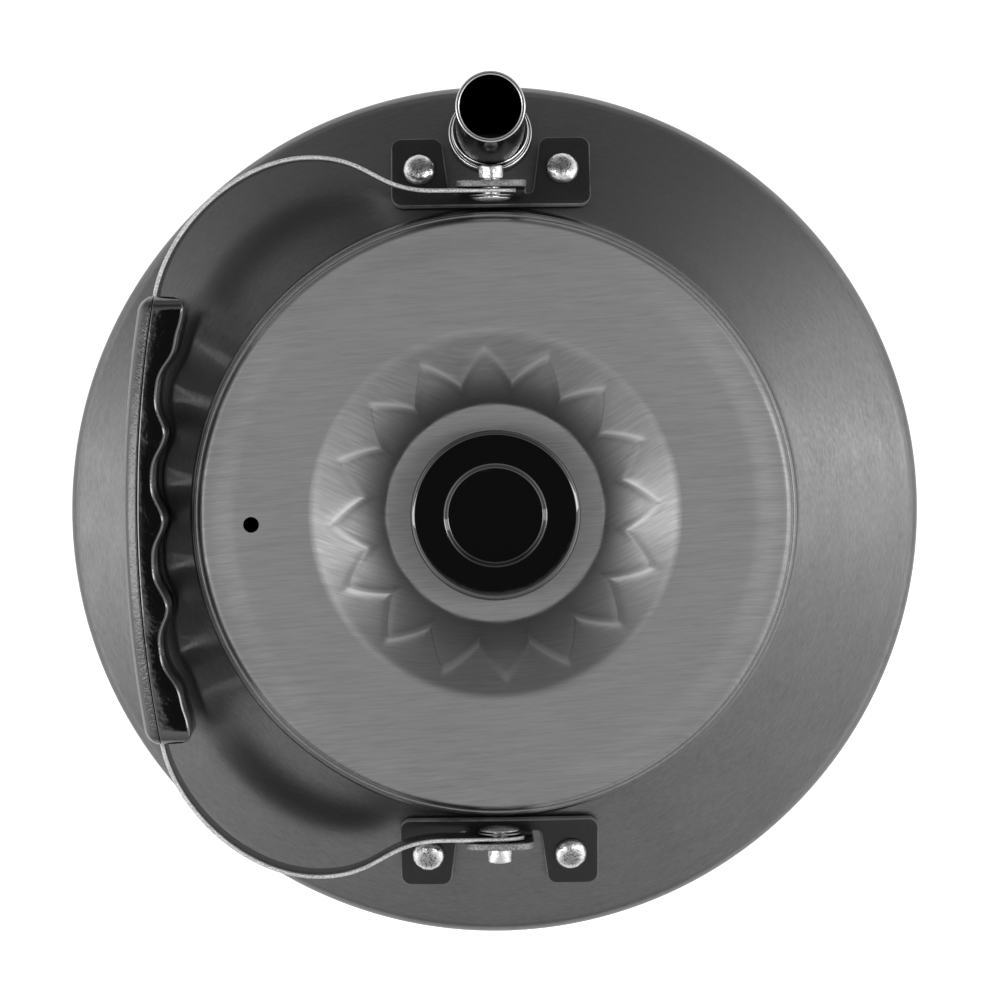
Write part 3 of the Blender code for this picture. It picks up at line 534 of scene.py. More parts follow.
def new_material(key):
    """The tree and the shader of a new material."""
    made = bpy.data.materials.new(f"fine_{key}")
    made.use_nodes = True
    return made.node_tree, made.node_tree.nodes["Principled BSDF"]


def finish(tree, shader, relief, depth, inputs):
    """Feed a shader, and let a relief of some depth bend its normal."""
    made = put(tree, "ShaderNodeBump", {"Height": relief, "Distance": depth, "Strength": 1.0})
    feed(tree, shader, inputs | {"Normal": made.outputs["Normal"]})


def brushed_metal(key, group, base, rough, fineness, reach, grain, depth, tangent=None,
                  stretch=0.0):
    """Brushed metal: lines in colour, roughness and relief, over soft clouding."""
    tree, shader = new_material(key)
    lines = place_group(tree, group, Fineness=fineness, Reach=reach)
    cloud = place_group(tree, "clouding", Size=45.0)
    mixed = total(tree, (lines["Lines"], 0.75), (lines["Streaks"], 0.25))
    tone = total(tree, (mixed, 0.75), (cloud["Cloud"], 0.25))
    if tangent:
        feed(tree, shader, {"Tangent": put(tree, "ShaderNodeTangent", **tangent).outputs[0]})
    finish(tree, shader, lines["Lines"], depth, {
        "Base Color": tint(tree, tone, shade(base, 1 - grain), shade(base, 1 + grain)),
        "Roughness": spread(tree, tone, 0.0, 1.0, rough * 1.14, rough * 0.86),
        "Metallic": 1.0,
        "Anisotropic": stretch,
    })


def paint_fold_light(key, base):
    """Paint a highlight on the fold's crest where it runs along x, and a shade line where it runs
    across.
    """
    tree = finish_named(key).node_tree
    shader = tree.nodes["Principled BSDF"]
    fold = put(tree, "ShaderNodeAttribute", attribute_name="fold").outputs["Fac"]
    colour_now = shader.inputs["Base Color"].links[0].from_socket
    # The base colour is lightened for the painted highlight and darkened for the painted shade
    # line, both read from the fold attribute.
    fold_shade = maths(tree, "MULTIPLY", fold, -1.0)
    for factor, goal in ((fold, shade(base, 1.4)), (fold_shade, shade(base, 0.2))):
        inputs = {0: factor, 6: colour_now, 7: (*goal, 1.0)}
        colour_now = put(tree, "ShaderNodeMix", inputs, data_type="RGBA").outputs[2]
    feed(tree, shader, {"Base Color": colour_now})


def satin_paint(key, base):
    """Satin black paint: orange-peel grain, dust, and lighter edges, partly wear and partly a
    painted highlight.
    """
    tree, shader = new_material(key)
    cloud = place_group(tree, "clouding", Size=160.0)
    # Lighter along the rounded edges: partly wear to bare metal, partly a painted highlight along
    # the bevel.
    edge = put(tree, "ShaderNodeAttribute", attribute_name="edge").outputs["Fac"]
    edge_wear_and_highlight = maths(tree, "MULTIPLY", edge, maths(tree, "ADD", cloud["Cloud"], 0.25))
    tone = total(tree, (cloud["Specks"], 0.07), (edge_wear_and_highlight, 0.8))
    finish(tree, shader, cloud["Specks"], 0.00002, {
        "Base Color": tint(tree, tone, base, shade(base, 26.0)),
        "Roughness": spread(tree, cloud["Cloud"], 0.0, 1.0, 0.32, 0.42),
    })


def black_moulding(key, base, rough, waviness, gloss=1.0, grain=0.0):
    """Polished black moulding with dust, fine scuffs, a soft waviness and a pressed grain."""
    tree, shader = new_material(key)
    cloud = place_group(tree, "clouding", Size=90.0)
    lines = place_group(tree, "round brushing", Fineness=2500.0, Reach=90.0)
    scuffs = spread(tree, lines["Lines"], 0.8, 1.0)
    tone = total(tree, (cloud["Specks"], 0.12), (scuffs, 0.2))
    uneven = total(tree, (cloud["Cloud"], 0.6), (tone, 0.4))
    relief = maths(tree, "ADD", cloud["Cloud"], maths(tree, "MULTIPLY", cloud["Specks"], 0.02))
    if grain:
        pits = noise(tree, own_place(tree), 2200.0, detail=1.0)
        relief = maths(tree, "ADD", relief, maths(tree, "MULTIPLY", pits, grain))
    finish(tree, shader, relief, waviness, {
        "Base Color": tint(tree, tone, base, shade(base, 6.0)),
        "Roughness": spread(tree, uneven, 0.0, 1.0, rough * 0.75, rough * 1.4),
        "IOR": 1.6,
        "Specular IOR Level": gloss,
        "Coat Weight": gloss,
        "Coat Roughness": rough,
    })


def sheared_edge(key, base):
    """Bare edge left by the shears: fine nicks across the sheet."""
    tree, shader = new_material(key)
    cloud = place_group(tree, "clouding", Size=140.0)
    nick = noise(tree, own_place(tree), 2600.0, detail=3.0, rough=0.7)
    nicks = spread(tree, nick, 0.35, 0.65)
    tone = total(tree, (nicks, 0.7), (cloud["Cloud"], 0.3))
    finish(tree, shader, nicks, 0.00006, {
        "Base Color": tint(tree, tone, shade(base, 0.45), shade(base, 1.6)),
        "Roughness": spread(tree, nicks, 0.0, 1.0, 0.6, 0.35),
        "Metallic": 1.0,
    })


def hammered_metal(key, base, darkening_at_crown):
    """Rivet heads: bright, a little dented, and darker and mottled towards the crown."""
    tree, shader = new_material(key)
    cloud = place_group(tree, "clouding", Size=420.0)
    place = own_place(tree)
    darkening = spread(tree, noise(tree, place, 2400.0, detail=2.0, rough=0.7), 0.5, 0.62)
    off = from_axis(tree, put(tree, "ShaderNodeSeparateXYZ", {0: place}).outputs)[1]
    # Darker and mottled towards the crown.
    crown = spread(tree, off, 0.0014, 0.0028, darkening_at_crown, 0.0)
    darkening = maths(tree, "MULTIPLY", darkening, spread(tree, cloud["Cloud"], 0.15, 0.5))
    darkening = maths(tree, "ADD", maths(tree, "MULTIPLY", crown, 0.45), darkening)
    darkening = maths(tree, "MULTIPLY", darkening, crown)
    relief = maths(tree, "SUBTRACT", cloud["Cloud"], maths(tree, "MULTIPLY", darkening, 0.2))
    finish(tree, shader, relief, 0.00014, {
        "Base Color": tint(tree, darkening, shade(base, 1.2), shade(base, 0.12)),
        "Roughness": spread(tree, cloud["Cloud"], 0.0, 1.0, 0.16, 0.32),
        "Metallic": 1.0,
    })


RADIAL = {"direction_type": "RADIAL", "axis": "Z"}
ALONG_BRUSH = {"direction_type": "UV_MAP", "uv_map": "brush"}


def make_finishes():
    """Build the shared node groups and every material."""
    tones = settings().colours
    brushing("round brushing", True)
    brushing("straight brushing", False)
    clouding()
    brushed_metal("shell", "round brushing", tones.shell, rough=0.32, fineness=2400.0,
                  reach=480.0, grain=0.24, depth=0.000006, tangent=RADIAL, stretch=0.8)
    brushed_metal("lid", "straight brushing", tones.lid, rough=0.40, fineness=2300.0,
                  reach=150.0, grain=0.25, depth=0.000004, tangent=ALONG_BRUSH, stretch=0.3)
    paint_fold_light("lid", tones.lid)
    polished = {"fineness": 6000.0, "reach": 60.0}
    # Tube and ring are one metal in two copies: the bright one is a painted highlight on the
    # mouth's rim and the ring's rounded steps, and the darkened one is painted shade on their other
    # faces.
    brushed_metal("bright", "round brushing", shade(tones.bright, 2.0), rough=0.16,
                  grain=0.12, depth=0.000005, **polished)
    brushed_metal("tube", "round brushing", shade(tones.bright, 0.3), rough=0.14,
                  grain=0.25, depth=0.000008, **polished)
    rolled = {"fineness": 5000.0, "reach": 90.0, "grain": 0.2, "depth": 0.000006}
    brushed_metal("steel", "straight brushing", tones.steel, rough=0.30, **rolled)
    # The strap's sides get a darkened copy of the steel, painted shade.
    brushed_metal("strap", "straight brushing", shade(tones.steel, 0.5), rough=0.26, **rolled)
    hammered_metal("rivet", shade(tones.bright, 1.7), darkening_at_crown=1.0)
    hammered_metal("pin", shade(tones.bright, 1.7), darkening_at_crown=0.1)
    sheared_edge("sheared", tones.sheared)
    # The strap's edges get a much lighter copy of the steel with sheared nicks: partly a real raw
    # edge, partly a painted highlight.
    sheared_edge("strap_edge_highlight", shade(tones.steel, 3.1))
    satin_paint("paint", tones.paint)
    black_moulding("grip_back", shade(tones.moulding, 2.0), rough=0.15, waviness=0.00008,
                   gloss=0.7, grain=0.6)
    black_moulding("grip_front", tones.moulding, rough=0.08, waviness=0.00012)
    black_moulding("knob", tones.moulding, rough=0.03, waviness=0.00002)


# Places that pieces share

# Bracket rivets: radii of hole, shank and tail, and height of the tail
RIVET_HOLE = 0.0019
RIVET_SHANK = 0.0016
RIVET_TAIL = 0.0027
RIVET_TAIL_HEIGHT = 0.001


def shoulder_height(radius, lift=0.0):
    """Height of the shoulder's outer face, raised by lift square to the slope."""
    size = settings().shell
    fall = (radius - (size.radius - size.edge_radius)) * math.sin(size.slope)
    return size.edge_height + (size.edge_radius + lift - fall) / math.cos(size.slope)


def slope_place(x, y):
    """Frame on the shoulder's outer face at (x, y), with its z square to the slope."""
    turn = Matrix.Rotation(math.atan2(y, x), 4, "Z")
    turn = turn @ Matrix.Rotation(settings().shell.slope, 4, "Y")
    return Matrix.Translation((x, y, shoulder_height(math.hypot(x, y)))) @ turn


def tube_place():
    """Frame of the pouring tube at its root, with its z along the tube."""
    size = settings().spout
    root = Vector((0.0, size.place, shoulder_height(size.place)))
    return Matrix.Translation(root) @ Matrix.Rotation(-size.lean, 4, "X")


def pin_place(side):
    """Frame of one pin, with its z pointing outward along the bail's axis."""
    turn = Matrix.Rotation(-side * math.pi / 2, 4, "X")
    centre = (0.0, side * settings().bracket.ear_place, settings().bail.axis_height)
    return Matrix.Translation(centre) @ turn


def rivet_places(side):
    """Left and right rivet places of one bracket."""
    size = settings().bracket
    y = side * (size.ear_place + size.rivet_beyond)
    return {"left": (-size.rivet_across, y), "right": (size.rivet_across, y)}


def rivet_drills(side):
    """Drills for the two rivets of one bracket."""
    places = rivet_places(side).values()
    return [cutter(RIVET_HOLE, 4 * CUT, slope_place(*place)) for place in places]


# Shell

# Radius inside which the base's underside is one flat fan
BASE_MIDDLE = 0.004


def build_shell():
    """The spun shell from the neck's rim to the base, with a rounded rim and its holes."""
    size = settings().shell
    slope = math.degrees(size.slope)
    fillet_place = size.neck_radius + size.neck_fillet
    fillet_centre = (fillet_place, shoulder_height(fillet_place, size.neck_fillet))
    edge_centre = (size.radius - size.edge_radius, size.edge_height)
    base_centre = (size.radius - size.base_corner, size.base_corner)
    rim = shoulder_height(size.neck_radius) + size.neck_height
    outer = [(size.neck_radius, rim - size.sheet / 2)]
    outer += arc(fillet_centre, size.neck_fillet, 180, 270 - slope)
    shoulder = arc(edge_centre, size.edge_radius, 90 - slope, 0, 2 * CORNER_STEPS)
    start, end = Vector(outer[-1]), Vector(shoulder[0])
    outer += [tuple(start.lerp(end, i / 8)) for i in range(1, 8)]
    outer += shoulder
    outer += arc(base_centre, size.base_corner, 0, -90, 2 * CORNER_STEPS)
    outer.append((BASE_MIDDLE, 0.0))
    inner = offset_line(outer, size.sheet)
    centre = (size.neck_radius - size.sheet / 2, rim - size.sheet / 2)
    lip = arc(centre, size.sheet / 2, 180, 0)[1:-1]
    profile = [(0.0, inner[-1][1])] + inner[::-1] + lip + outer + [(0.0, 0.0)]
    shell = turned("kettle_shell", profile, RING_STEPS)
    tools = [cutter(settings().spout.radius + GAP, 5 * CUT, tube_place())]
    for _, side in ENDS:
        tools += rivet_drills(side)
    cut(shell, tools)
    dress(shell, "shell")
    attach(shell, "kettle")
    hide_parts("kettle_body")


# Tube and ring

# Rounding of the tube's mouth, and how far the ring's blank reaches into the tube's hole
MOUTH_ROUND = 0.00024
RING_INSIDE = 0.0006
# Range of a normal's rise in which the ring's rounded steps get the bright copy, a painted
# highlight
HIGHLIGHT_RISE = (0.2, 0.98)


def where_cylinder_meets(place, radius, around, point, normal):
    """Point of a cylinder about a frame's z, at an angle, in the plane through point."""
    start = place @ Vector((radius * math.cos(around), radius * math.sin(around), 0.0))
    way = place.to_3x3() @ Vector((0.0, 0.0, 1.0))
    return start + way * ((point - start).dot(normal) / way.dot(normal))


def build_tube():
    """The pouring tube, cut level and rounded at its mouth and flanged under the shoulder."""
    size = settings().spout
    root = tube_place()
    square = slope_place(0.0, size.place)
    upright = Vector((0.0, 0.0, 1.0))
    off_slope = square.to_3x3() @ upright
    flange_top = square @ Vector((0.0, 0.0, -size.flange_depth))
    flange_bottom = square @ Vector((0.0, 0.0, -size.flange_depth - size.flange_sheet))
    mouth = root.translation + upright * size.rise
    angles = full_turn(TURNED_STEPS)
    bore = size.radius - size.wall
    half = size.wall / 2
    on_slope = square @ Matrix.Rotation(-math.pi / 2, 4, "Z")

    def level(radius, point, normal):
        return [where_cylinder_meets(root, radius, a, point, normal) for a in angles]

    def disc(radius, height):
        return [on_slope @ Vector(point) for point in circle(radius, height, angles)]

    flange = size.radius + size.flange_rim
    rings = [
        level(bore, flange_bottom, off_slope),
        disc(flange - half, -size.flange_depth - size.flange_sheet),
        disc(flange, -size.flange_depth - half),
        disc(flange - half, -size.flange_depth),
        level(size.radius, flange_top, off_slope),
    ]
    soft = MOUTH_ROUND
    rim = arc((size.radius - soft, -soft), soft, 0, 90, 5)
    rim += arc((bore + soft, -soft), soft, 90, 180, 5)
    for radius, height in rim:
        rings.append(level(radius, mouth + upright * height, upright))
    tube = skin("pouring_tube", rings, closed=True)
    # The mouth's rounded rim gets the bright copy, a painted highlight, and the rest gets the
    # darkened copy, painted shade.
    for face in tube.data.polygons:
        face.material_index = 1 if face.center.z > mouth.z - soft else 0
    dress(tube, "tube", "bright")
    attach(tube, "kettle")
    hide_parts("spout_tube")


def build_ring():
    """The stepped ring at the tube's root, turned square to the shoulder."""
    size = settings().spout
    inner = size.radius - RING_INSIDE
    outer = size.radius + size.ring_rim
    bead = size.radius + size.bead_rim
    low, step, top = GAP, GAP + size.ring_height, GAP + size.bead_height
    profile = rounded([
        (inner, top, 0), (bead, top, SOFT), (bead, step, 1.5 * CRISP), (outer, step, SOFT),
        (outer, low, CRISP), (inner, low, 0),
    ], closed=False)
    ring = turned("tube_ring", profile, closed=True)
    ring.matrix_world = slope_place(0.0, size.place)
    cut(ring, [cutter(size.radius + GAP / 2, 6 * CUT, tube_place())])
    # Tilted step faces get the bright copy, a painted highlight, and the others get the darkened
    # copy, painted shade.
    for face in ring.data.polygons:
        face.material_index = 1 if HIGHLIGHT_RISE[0] < face.normal.z < HIGHLIGHT_RISE[1] else 0
    dress(ring, "tube", "bright")
    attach(ring, "kettle")
    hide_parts("spout_collar")


# Brackets

# Rounding at the root of the cut-out beside an ear
CUT_OUT_ROUND = 0.0012
# Widths of the strips of plate, bend and ear, and how far the bend's strips go past its end
PLATE_STRIP = 0.0015
BEND_STRIP = 0.0003
EAR_STRIP = 0.002
PAST_BEND = 0.0002


def bracket_blank(size):
    """Outline of a bracket before its ear is bent up, as (across, outward)."""
    half, ear = size.width / 2, size.ear_width / 2
    near = size.ear_place - size.lip
    far = near + size.depth
    root, tip = bend_start(size), ear_tip(size)
    return rounded([
        (-half, near, size.corner), (half, near, size.corner),
        (half, far, size.corner), (size.mouth, far, size.corner),
        (size.neck, root, CUT_OUT_ROUND), (ear, root, 0),
        (ear, tip, size.ear_corner), (-ear, tip, size.ear_corner),
        (-ear, root, 0), (-size.neck, root, CUT_OUT_ROUND),
        (-size.mouth, far, size.corner), (-half, far, size.corner),
    ])


def bend_start(size):
    """Distance from the axis at which the ear starts to bend up, under the sheet."""
    lean = math.sin(settings().shell.slope)
    return size.ear_place - size.bend * (1 + lean) - (GAP + size.sheet) * lean


def bend_turn():
    """Angle through which an ear is bent."""
    return math.pi / 2 + settings().shell.slope


def ear_tip(size):
    """Distance of the flat blank's ear tip, with the bend measured at mid sheet."""
    start = bend_start(size)
    rise = (GAP + size.sheet + size.bend) * math.cos(settings().shell.slope)
    centre = shoulder_height(start) + rise
    height = settings().bail.axis_height + size.ear_above_pin - centre
    return start + (size.bend + size.sheet / 2) * bend_turn() + height


def bent_place(size, point):
    """Place on the kettle of a point of the flat blank, with its height from the underside."""
    x, outward, rise = point
    start = bend_start(size)
    slope = settings().shell.slope
    if abs(x) > size.ear_width / 2 + MERGE or outward <= start:
        radius = math.hypot(x, outward)
        lift = GAP + rise
        grown = 1 + lift * math.sin(slope) / radius
        foot = shoulder_height(radius)
        return Vector((x * grown, outward * grown, foot + lift * math.cos(slope)))
    normal = Vector((0.0, math.sin(slope), math.cos(slope)))
    under = Vector((0.0, start, shoulder_height(start)))
    centre = under + normal * (GAP + size.sheet + size.bend)
    ring = size.bend + size.sheet / 2
    turn = min((outward - start) / ring, bend_turn())
    spoke = Matrix.Rotation(turn, 3, "X") @ normal
    past = max(0.0, outward - start - ring * bend_turn())
    return Vector((x, 0.0, past)) + centre - spoke * (size.bend + size.sheet - rise)


def cut_into_strips(shape, axis, start, end, step):
    """Cut a flat blank across, so that it can follow a curve."""
    normal = Vector((0.0, 0.0, 0.0))
    normal[axis] = 1.0
    place = start
    while place < end:
        geometry = shape.verts[:] + shape.edges[:] + shape.faces[:]
        bmesh.ops.bisect_plane(shape, geom=geometry, plane_co=normal * place, plane_no=normal,
                               dist=10 * MERGE)
        place += step


def build_bracket(end, side):
    """A pressed bracket: rounded edges, following the shoulder, with its ear bent up."""
    size = settings().bracket
    shape = bmesh.new()
    face = shape.faces.new([shape.verts.new((x, y, 0.0)) for x, y in bracket_blank(size)])
    grown = bmesh.ops.extrude_face_region(shape, geom=[face])["geom"]
    moved = [v for v in grown if isinstance(v, bmesh.types.BMVert)]
    bmesh.ops.translate(shape, verts=moved, vec=(0.0, 0.0, size.sheet))
    bmesh.ops.recalc_face_normals(shape, faces=shape.faces)
    rims = [e for e in shape.edges if e.calc_face_angle(0.0) > math.radians(70)
            and abs(e.verts[0].co.z - e.verts[1].co.z) < MERGE]
    bmesh.ops.bevel(shape, geom=rims, offset=size.edge_round, segments=3, profile=0.5,
                    affect="EDGES", clamp_overlap=True)
    # The edge mask lightens the paint along the bevelled edges: partly wear, partly a painted
    # highlight.
    edge = shape.verts.layers.float.new("edge")
    for vertex in shape.verts:
        inside = min(vertex.co.z, size.sheet - vertex.co.z)
        level = any(abs(f.normal.z) > 0.999 for f in vertex.link_faces)
        vertex[edge] = 0.0 if level and inside < MERGE else 1.0
    near = size.ear_place - size.lip
    start, tip = bend_start(size), ear_tip(size)
    cut_into_strips(shape, 0, -size.width / 2, size.width / 2, PLATE_STRIP)
    cut_into_strips(shape, 1, near, start, PLATE_STRIP)
    bend_end = start + (size.bend + size.sheet / 2) * bend_turn()
    cut_into_strips(shape, 1, start, bend_end + PAST_BEND, BEND_STRIP)
    cut_into_strips(shape, 1, bend_end + EAR_STRIP / 2, tip, EAR_STRIP)
    shape.normal_update()
    for face in shape.faces:
        past_corner = face.calc_center_median().y > tip - size.ear_corner
        if abs(face.normal.z) < UPRIGHT and past_corner:
            face.material_index = 1
    for vertex in shape.verts:
        vertex.co = bent_place(size, vertex.co)
    bracket = as_object(f"{end}_plate", shape)
    if side < 0:
        bracket.data.transform(Matrix.Rotation(math.pi, 4, "Z"))
    hole = cutter(size.pin_radius + GAP, 2 * CUT, pin_place(side))
    cut(bracket, [hole] + rivet_drills(side))
    dress(bracket, "paint", "sheared")
    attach(bracket, "kettle")
    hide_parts(f"{end}_bracket")


def dome(radius, height, foot, steps=10):
    """Profile of a domed head from its crown down to its rim."""
    angles = [math.pi / 2 * (1 - i / steps) for i in range(1, steps + 1)]
    rim = [(radius * math.cos(a) ** 0.9, foot + height * math.sin(a)) for a in angles[:-1]]
    return [(0.0, foot + height)] + rim + [(radius, foot)]


def build_bracket_rivet(end, side, hand, place):
    """A dome-headed rivet square to the shoulder, with its tail formed inside."""
    size = settings().bracket
    sheet = settings().shell.sheet
    foot = size.sheet + 2 * GAP
    tail = -(sheet + GAP)
    tail_end = tail - RIVET_TAIL_HEIGHT
    profile = dome(size.rivet_head, size.rivet_dome, foot)
    profile += rounded([
        (size.rivet_head - CRISP, foot, 0), (RIVET_SHANK, foot, 0), (RIVET_SHANK, tail, 0),
        (RIVET_TAIL, tail, CRISP), (RIVET_TAIL, tail_end, 5 * CRISP), (0.0, tail_end, 0),
    ], closed=False)
    rivet = turned(f"{end}_plate_rivet_{hand}", profile)
    rivet.matrix_world = slope_place(*place) @ Matrix.Rotation(side + len(hand), 4, "Z")
    dress(rivet, "rivet")
    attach(rivet, "kettle")
    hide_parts(f"{end}_bracket_rivet_{hand}")


# Depth of the bore in a pin's tail, and radius of the roll round it
PIN_BORE = 0.0024
PIN_ROLL = 0.00055


def build_pin(end, side):
    """A tubular rivet through ear, strap and washer, with a rolled tail."""
    size = settings().bracket
    strap = settings().bail.sheet
    washer_top = -(2 * GAP + strap)
    washer_bottom = washer_top - size.washer_sheet
    head_top = washer_bottom - GAP
    tail_foot = size.sheet + GAP
    tail_end = tail_foot + size.pin_tail_length
    roll = PIN_ROLL
    profile = [(0.0, tail_end - PIN_BORE), (size.pin_tail - 2 * roll, tail_end - PIN_BORE)]
    profile += arc((size.pin_tail - roll, tail_end - roll), roll, 180, 0, 8)
    profile += rounded([
        (size.pin_tail, tail_end - roll, 0), (size.pin_tail, tail_foot, EASED),
        (size.pin_radius, tail_foot, 0), (size.pin_radius, head_top, 0),
        (size.pin_head - CRISP, head_top, 0),
    ], closed=False)[1:]
    crown = dome(size.pin_head, size.pin_dome, 0.0)
    profile += [(radius, head_top - height) for radius, height in crown[::-1]]
    pin = turned(f"{end}_pin", profile)
    pin.matrix_world = pin_place(side)
    dress(pin, "pin")
    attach(pin, "kettle")
    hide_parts(f"{end}_pivot_rivet")

    hole = size.pin_radius + GAP
    flat = rounded([
        (hole, washer_top, CRISP), (size.washer_radius, washer_top, 1.5 * CRISP),
        (size.washer_radius, washer_bottom, 1.5 * CRISP), (hole, washer_bottom, CRISP),
    ])
    washer = turned(f"{end}_pin_washer", flat, closed=True)
    washer.matrix_world = pin_place(side)
    dress(washer, "steel")
    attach(washer, "kettle")
    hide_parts(f"{end}_pivot_washer")


# Bail

def grip_line(radius, span, steps):
    """Points along the grip at a radius from its own centre, from -y to +y."""
    size = settings().bail
    half = math.asin(span / 2 / radius)
    centre = size.grip_arc - size.grip_reach
    angles = [half * (2 * i / steps - 1) for i in range(steps + 1)]
    return [(centre - radius * math.cos(a), radius * math.sin(a)) for a in angles]


# Places along x of the strap's straight stretch at a pin and of its curves' handles
STRAP_TIP = (-0.004, -0.008)
JOGGLE = (-0.012, -0.025, -0.0255, -0.0385)
BEND_HANDLE = -0.0545
# Length of the handle along the seam where the strap bends into the grip
SEAM_HANDLE = 0.014


def strap_line():
    """Middle of the strap in plan, from the rear pin round the grip to the front one."""
    size = settings().bail
    seam = grip_line(size.grip_arc - size.seam_depth, size.grip_length, 40)
    coarse = grip_line(size.grip_arc - size.seam_depth, size.grip_length, 14)
    end = Vector(coarse[-1])
    away = (end - Vector(coarse[-2])).normalized()
    places = zip(JOGGLE, (size.place, size.place, size.spread, size.spread))
    handles = [Vector(place) for place in places]
    joggle = interpolate_bezier(*handles, 30)
    handle = Vector((BEND_HANDLE, size.spread))
    bend = interpolate_bezier(handles[-1], handle, end + away * SEAM_HANDLE, end, 48)
    half = size.width / 2
    tip = [(half * math.cos(math.radians(a)), size.place) for a in range(0, 91, 9)]
    front = tip + [(x, size.place) for x in STRAP_TIP]
    front += [(p[0], p[1]) for p in joggle + bend[1:-1]]
    rear = [(x, -y) for x, y in front]
    return rear + seam + front[::-1]


def build_strap():
    """The bent strip on edge, with rounded ends, softened edges and its holes."""
    size = settings().bail
    line = [Vector(p) for p in strap_line()]
    half, thick = size.width / 2, size.sheet / 2
    rings = []
    for i, point in enumerate(line):
        ahead = line[min(i + 1, len(line) - 1)]
        behind = line[max(i - 1, 0)]
        run = (ahead - behind).normalized()
        side = Vector((run.y, -run.x))
        tall = half
        if point.x > 0:
            tall = max(math.sqrt(max(half * half - point.x * point.x, 0.0)), SOFT * 1.01)
        section = rounded([(thick, -tall, SOFT), (thick, tall, SOFT),
                           (-thick, tall, SOFT), (-thick, -tall, SOFT)])
        rings.append([(point.x + side.x * a, point.y + side.y * a, b) for a, b in section])
    strap = skin("bail_strip", rings)
    strap.location.z = size.axis_height
    bpy.context.view_layer.update()
    hole = settings().bracket.pin_radius + GAP
    cut(strap, [cutter(hole, CUT, pin_place(side)) for _, side in ENDS])
    # Upright sides get darkened steel, painted shade, and edges facing up and down get lighter
    # steel, partly a painted highlight.
    for face in strap.data.polygons:
        face.material_index = 1 if abs(face.normal.z) > UPRIGHT else 0
    dress(strap, "strap", "strap_edge_highlight")
    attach(strap, "bail")
    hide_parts("bail_strap")


# How narrow the crests between grooves are, and where the swell starts and how long it takes,
# in grooves from the grip's middle
CREST_POWER = 1.7
SWELL_START = 1.75
SWELL_RUN = 0.6


def grip_depth(y):
    """Depth of the grip in plan, with its finger grooves and swelled ends."""
    size = settings().bail
    crest = (1 + math.cos(2 * math.pi * y / size.groove_pitch)) / 2
    waves = size.groove_swing * (2 * crest ** CREST_POWER - 1)
    ramp = smooth_step((abs(y) / size.groove_pitch - SWELL_START) / SWELL_RUN)
    return size.grip_depth + waves * (1 - ramp) + (size.end_swell + size.groove_swing) * ramp


# Rounding of the grip's ends, and distance of each shell from the middle of the seam
GRIP_END = 0.0029
SEAM_GAP = 0.00005
# Sections along the grip between its rounded ends
GRIP_STEPS = 150


def grip_stations():
    """Places along the grip and how far its skin is drawn in there, at the rounded ends."""
    end = settings().bail.grip_length / 2
    places = []
    for turn in [math.radians(a) for a in range(10, 91, 10)]:
        places.append((end - GRIP_END + GRIP_END * math.sin(turn), GRIP_END * (1 - math.cos(turn))))
    straight = 2 * end - 2 * GRIP_END
    middle = [(-end + GRIP_END + straight * i / GRIP_STEPS, 0.0) for i in range(GRIP_STEPS + 1)]
    return [(-y, inset) for y, inset in places[::-1]] + middle + places


def brow_corners(outer, edge, skin_x, tall):
    """Corners of a grip shell's upper edge, from the seam to its skin."""
    reach = abs(skin_x - edge)
    if not outer:
        front_round = settings().bail.front_round
        return [(edge, tall, min(SOFT, 0.3 * reach)),
                (skin_x, tall, min(front_round, 0.6 * reach))]
    return [(edge, tall, 0.05 * reach), (edge - 0.14 * reach, tall, 0.35 * reach),
            (skin_x + 0.26 * reach, tall - 0.26 * reach, 0.4 * reach),
            (skin_x, tall - 0.9 * reach, 0.5 * reach)]


def build_grip_half(name, node, outer):
    """One shell of the grip, split at the seam, with the channel that holds the strap."""
    size = settings().bail
    channel = size.width / 2 + GAP
    centre = size.grip_arc - size.grip_reach
    seam = size.grip_arc - size.seam_depth
    drawn_in = size.seam_depth - size.sheet / 2 - GAP - SOFT
    rings = []
    for y, inset in grip_stations():
        back = centre - math.sqrt(size.grip_arc ** 2 - y * y)
        split = centre - math.sqrt(seam ** 2 - y * y)
        tall = size.grip_width / 2 - inset
        if outer:
            skin_x, edge, way = back + min(inset, drawn_in), split - SEAM_GAP, -1
        else:
            skin_x, edge, way = back + grip_depth(y) - inset, split + SEAM_GAP, 1
        notch = split + way * (size.sheet / 2 + GAP)
        brow = brow_corners(outer, edge, skin_x, tall)
        keel = [(x, -z, radius) for x, z, radius in brow[::-1]]
        section = rounded([(edge, channel, 0)] + brow + keel
                          + [(edge, -channel, 0), (notch, -channel, 0), (notch, channel, 0)])
        rings.append([(x, y, z) for x, z in section])
    shell = skin(name, rings)
    shell.location.z = size.axis_height
    dress(shell, "grip_back" if outer else "grip_front")
    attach(shell, "bail")
    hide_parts(node)


# Lid and knob

# Hole for the knob's screw, in lid, knob and washer
SCREW_HOLE = 0.0023
# How far the pleated zone reaches past the well's floor and lip, and where its fold begins to rise
WALL_MARGIN = 0.0006
FOLD_MARGIN = 0.0008
# Softness of the zigzag's points, as a share of a pleat
FOLD_SOFT = 0.035
# Share of a radial distance that lies square to the slanting fold
FOLD_SLANT = 0.63
# Half widths of the fold's painted highlight band and of its painted shade line, and the strength
# of that line
FOLD_HIGHLIGHT_WIDTH = 0.00075
FOLD_SHADE_WIDTH = 0.00016
FOLD_SHADE_STRENGTH = 0.35
# Small turn over which the fold's direction is taken
FOLD_TURN = 0.001
# Centre and radius of the lid's bead, and heights of the skirt above it, below it and inside it
BEAD = (0.0641522, 0.00065)
BEAD_ROUND = 0.0004
BEAD_TOP = 0.0011
SKIRT_TOP = 0.0003
INNER_SKIRT_TOP = 0.0006
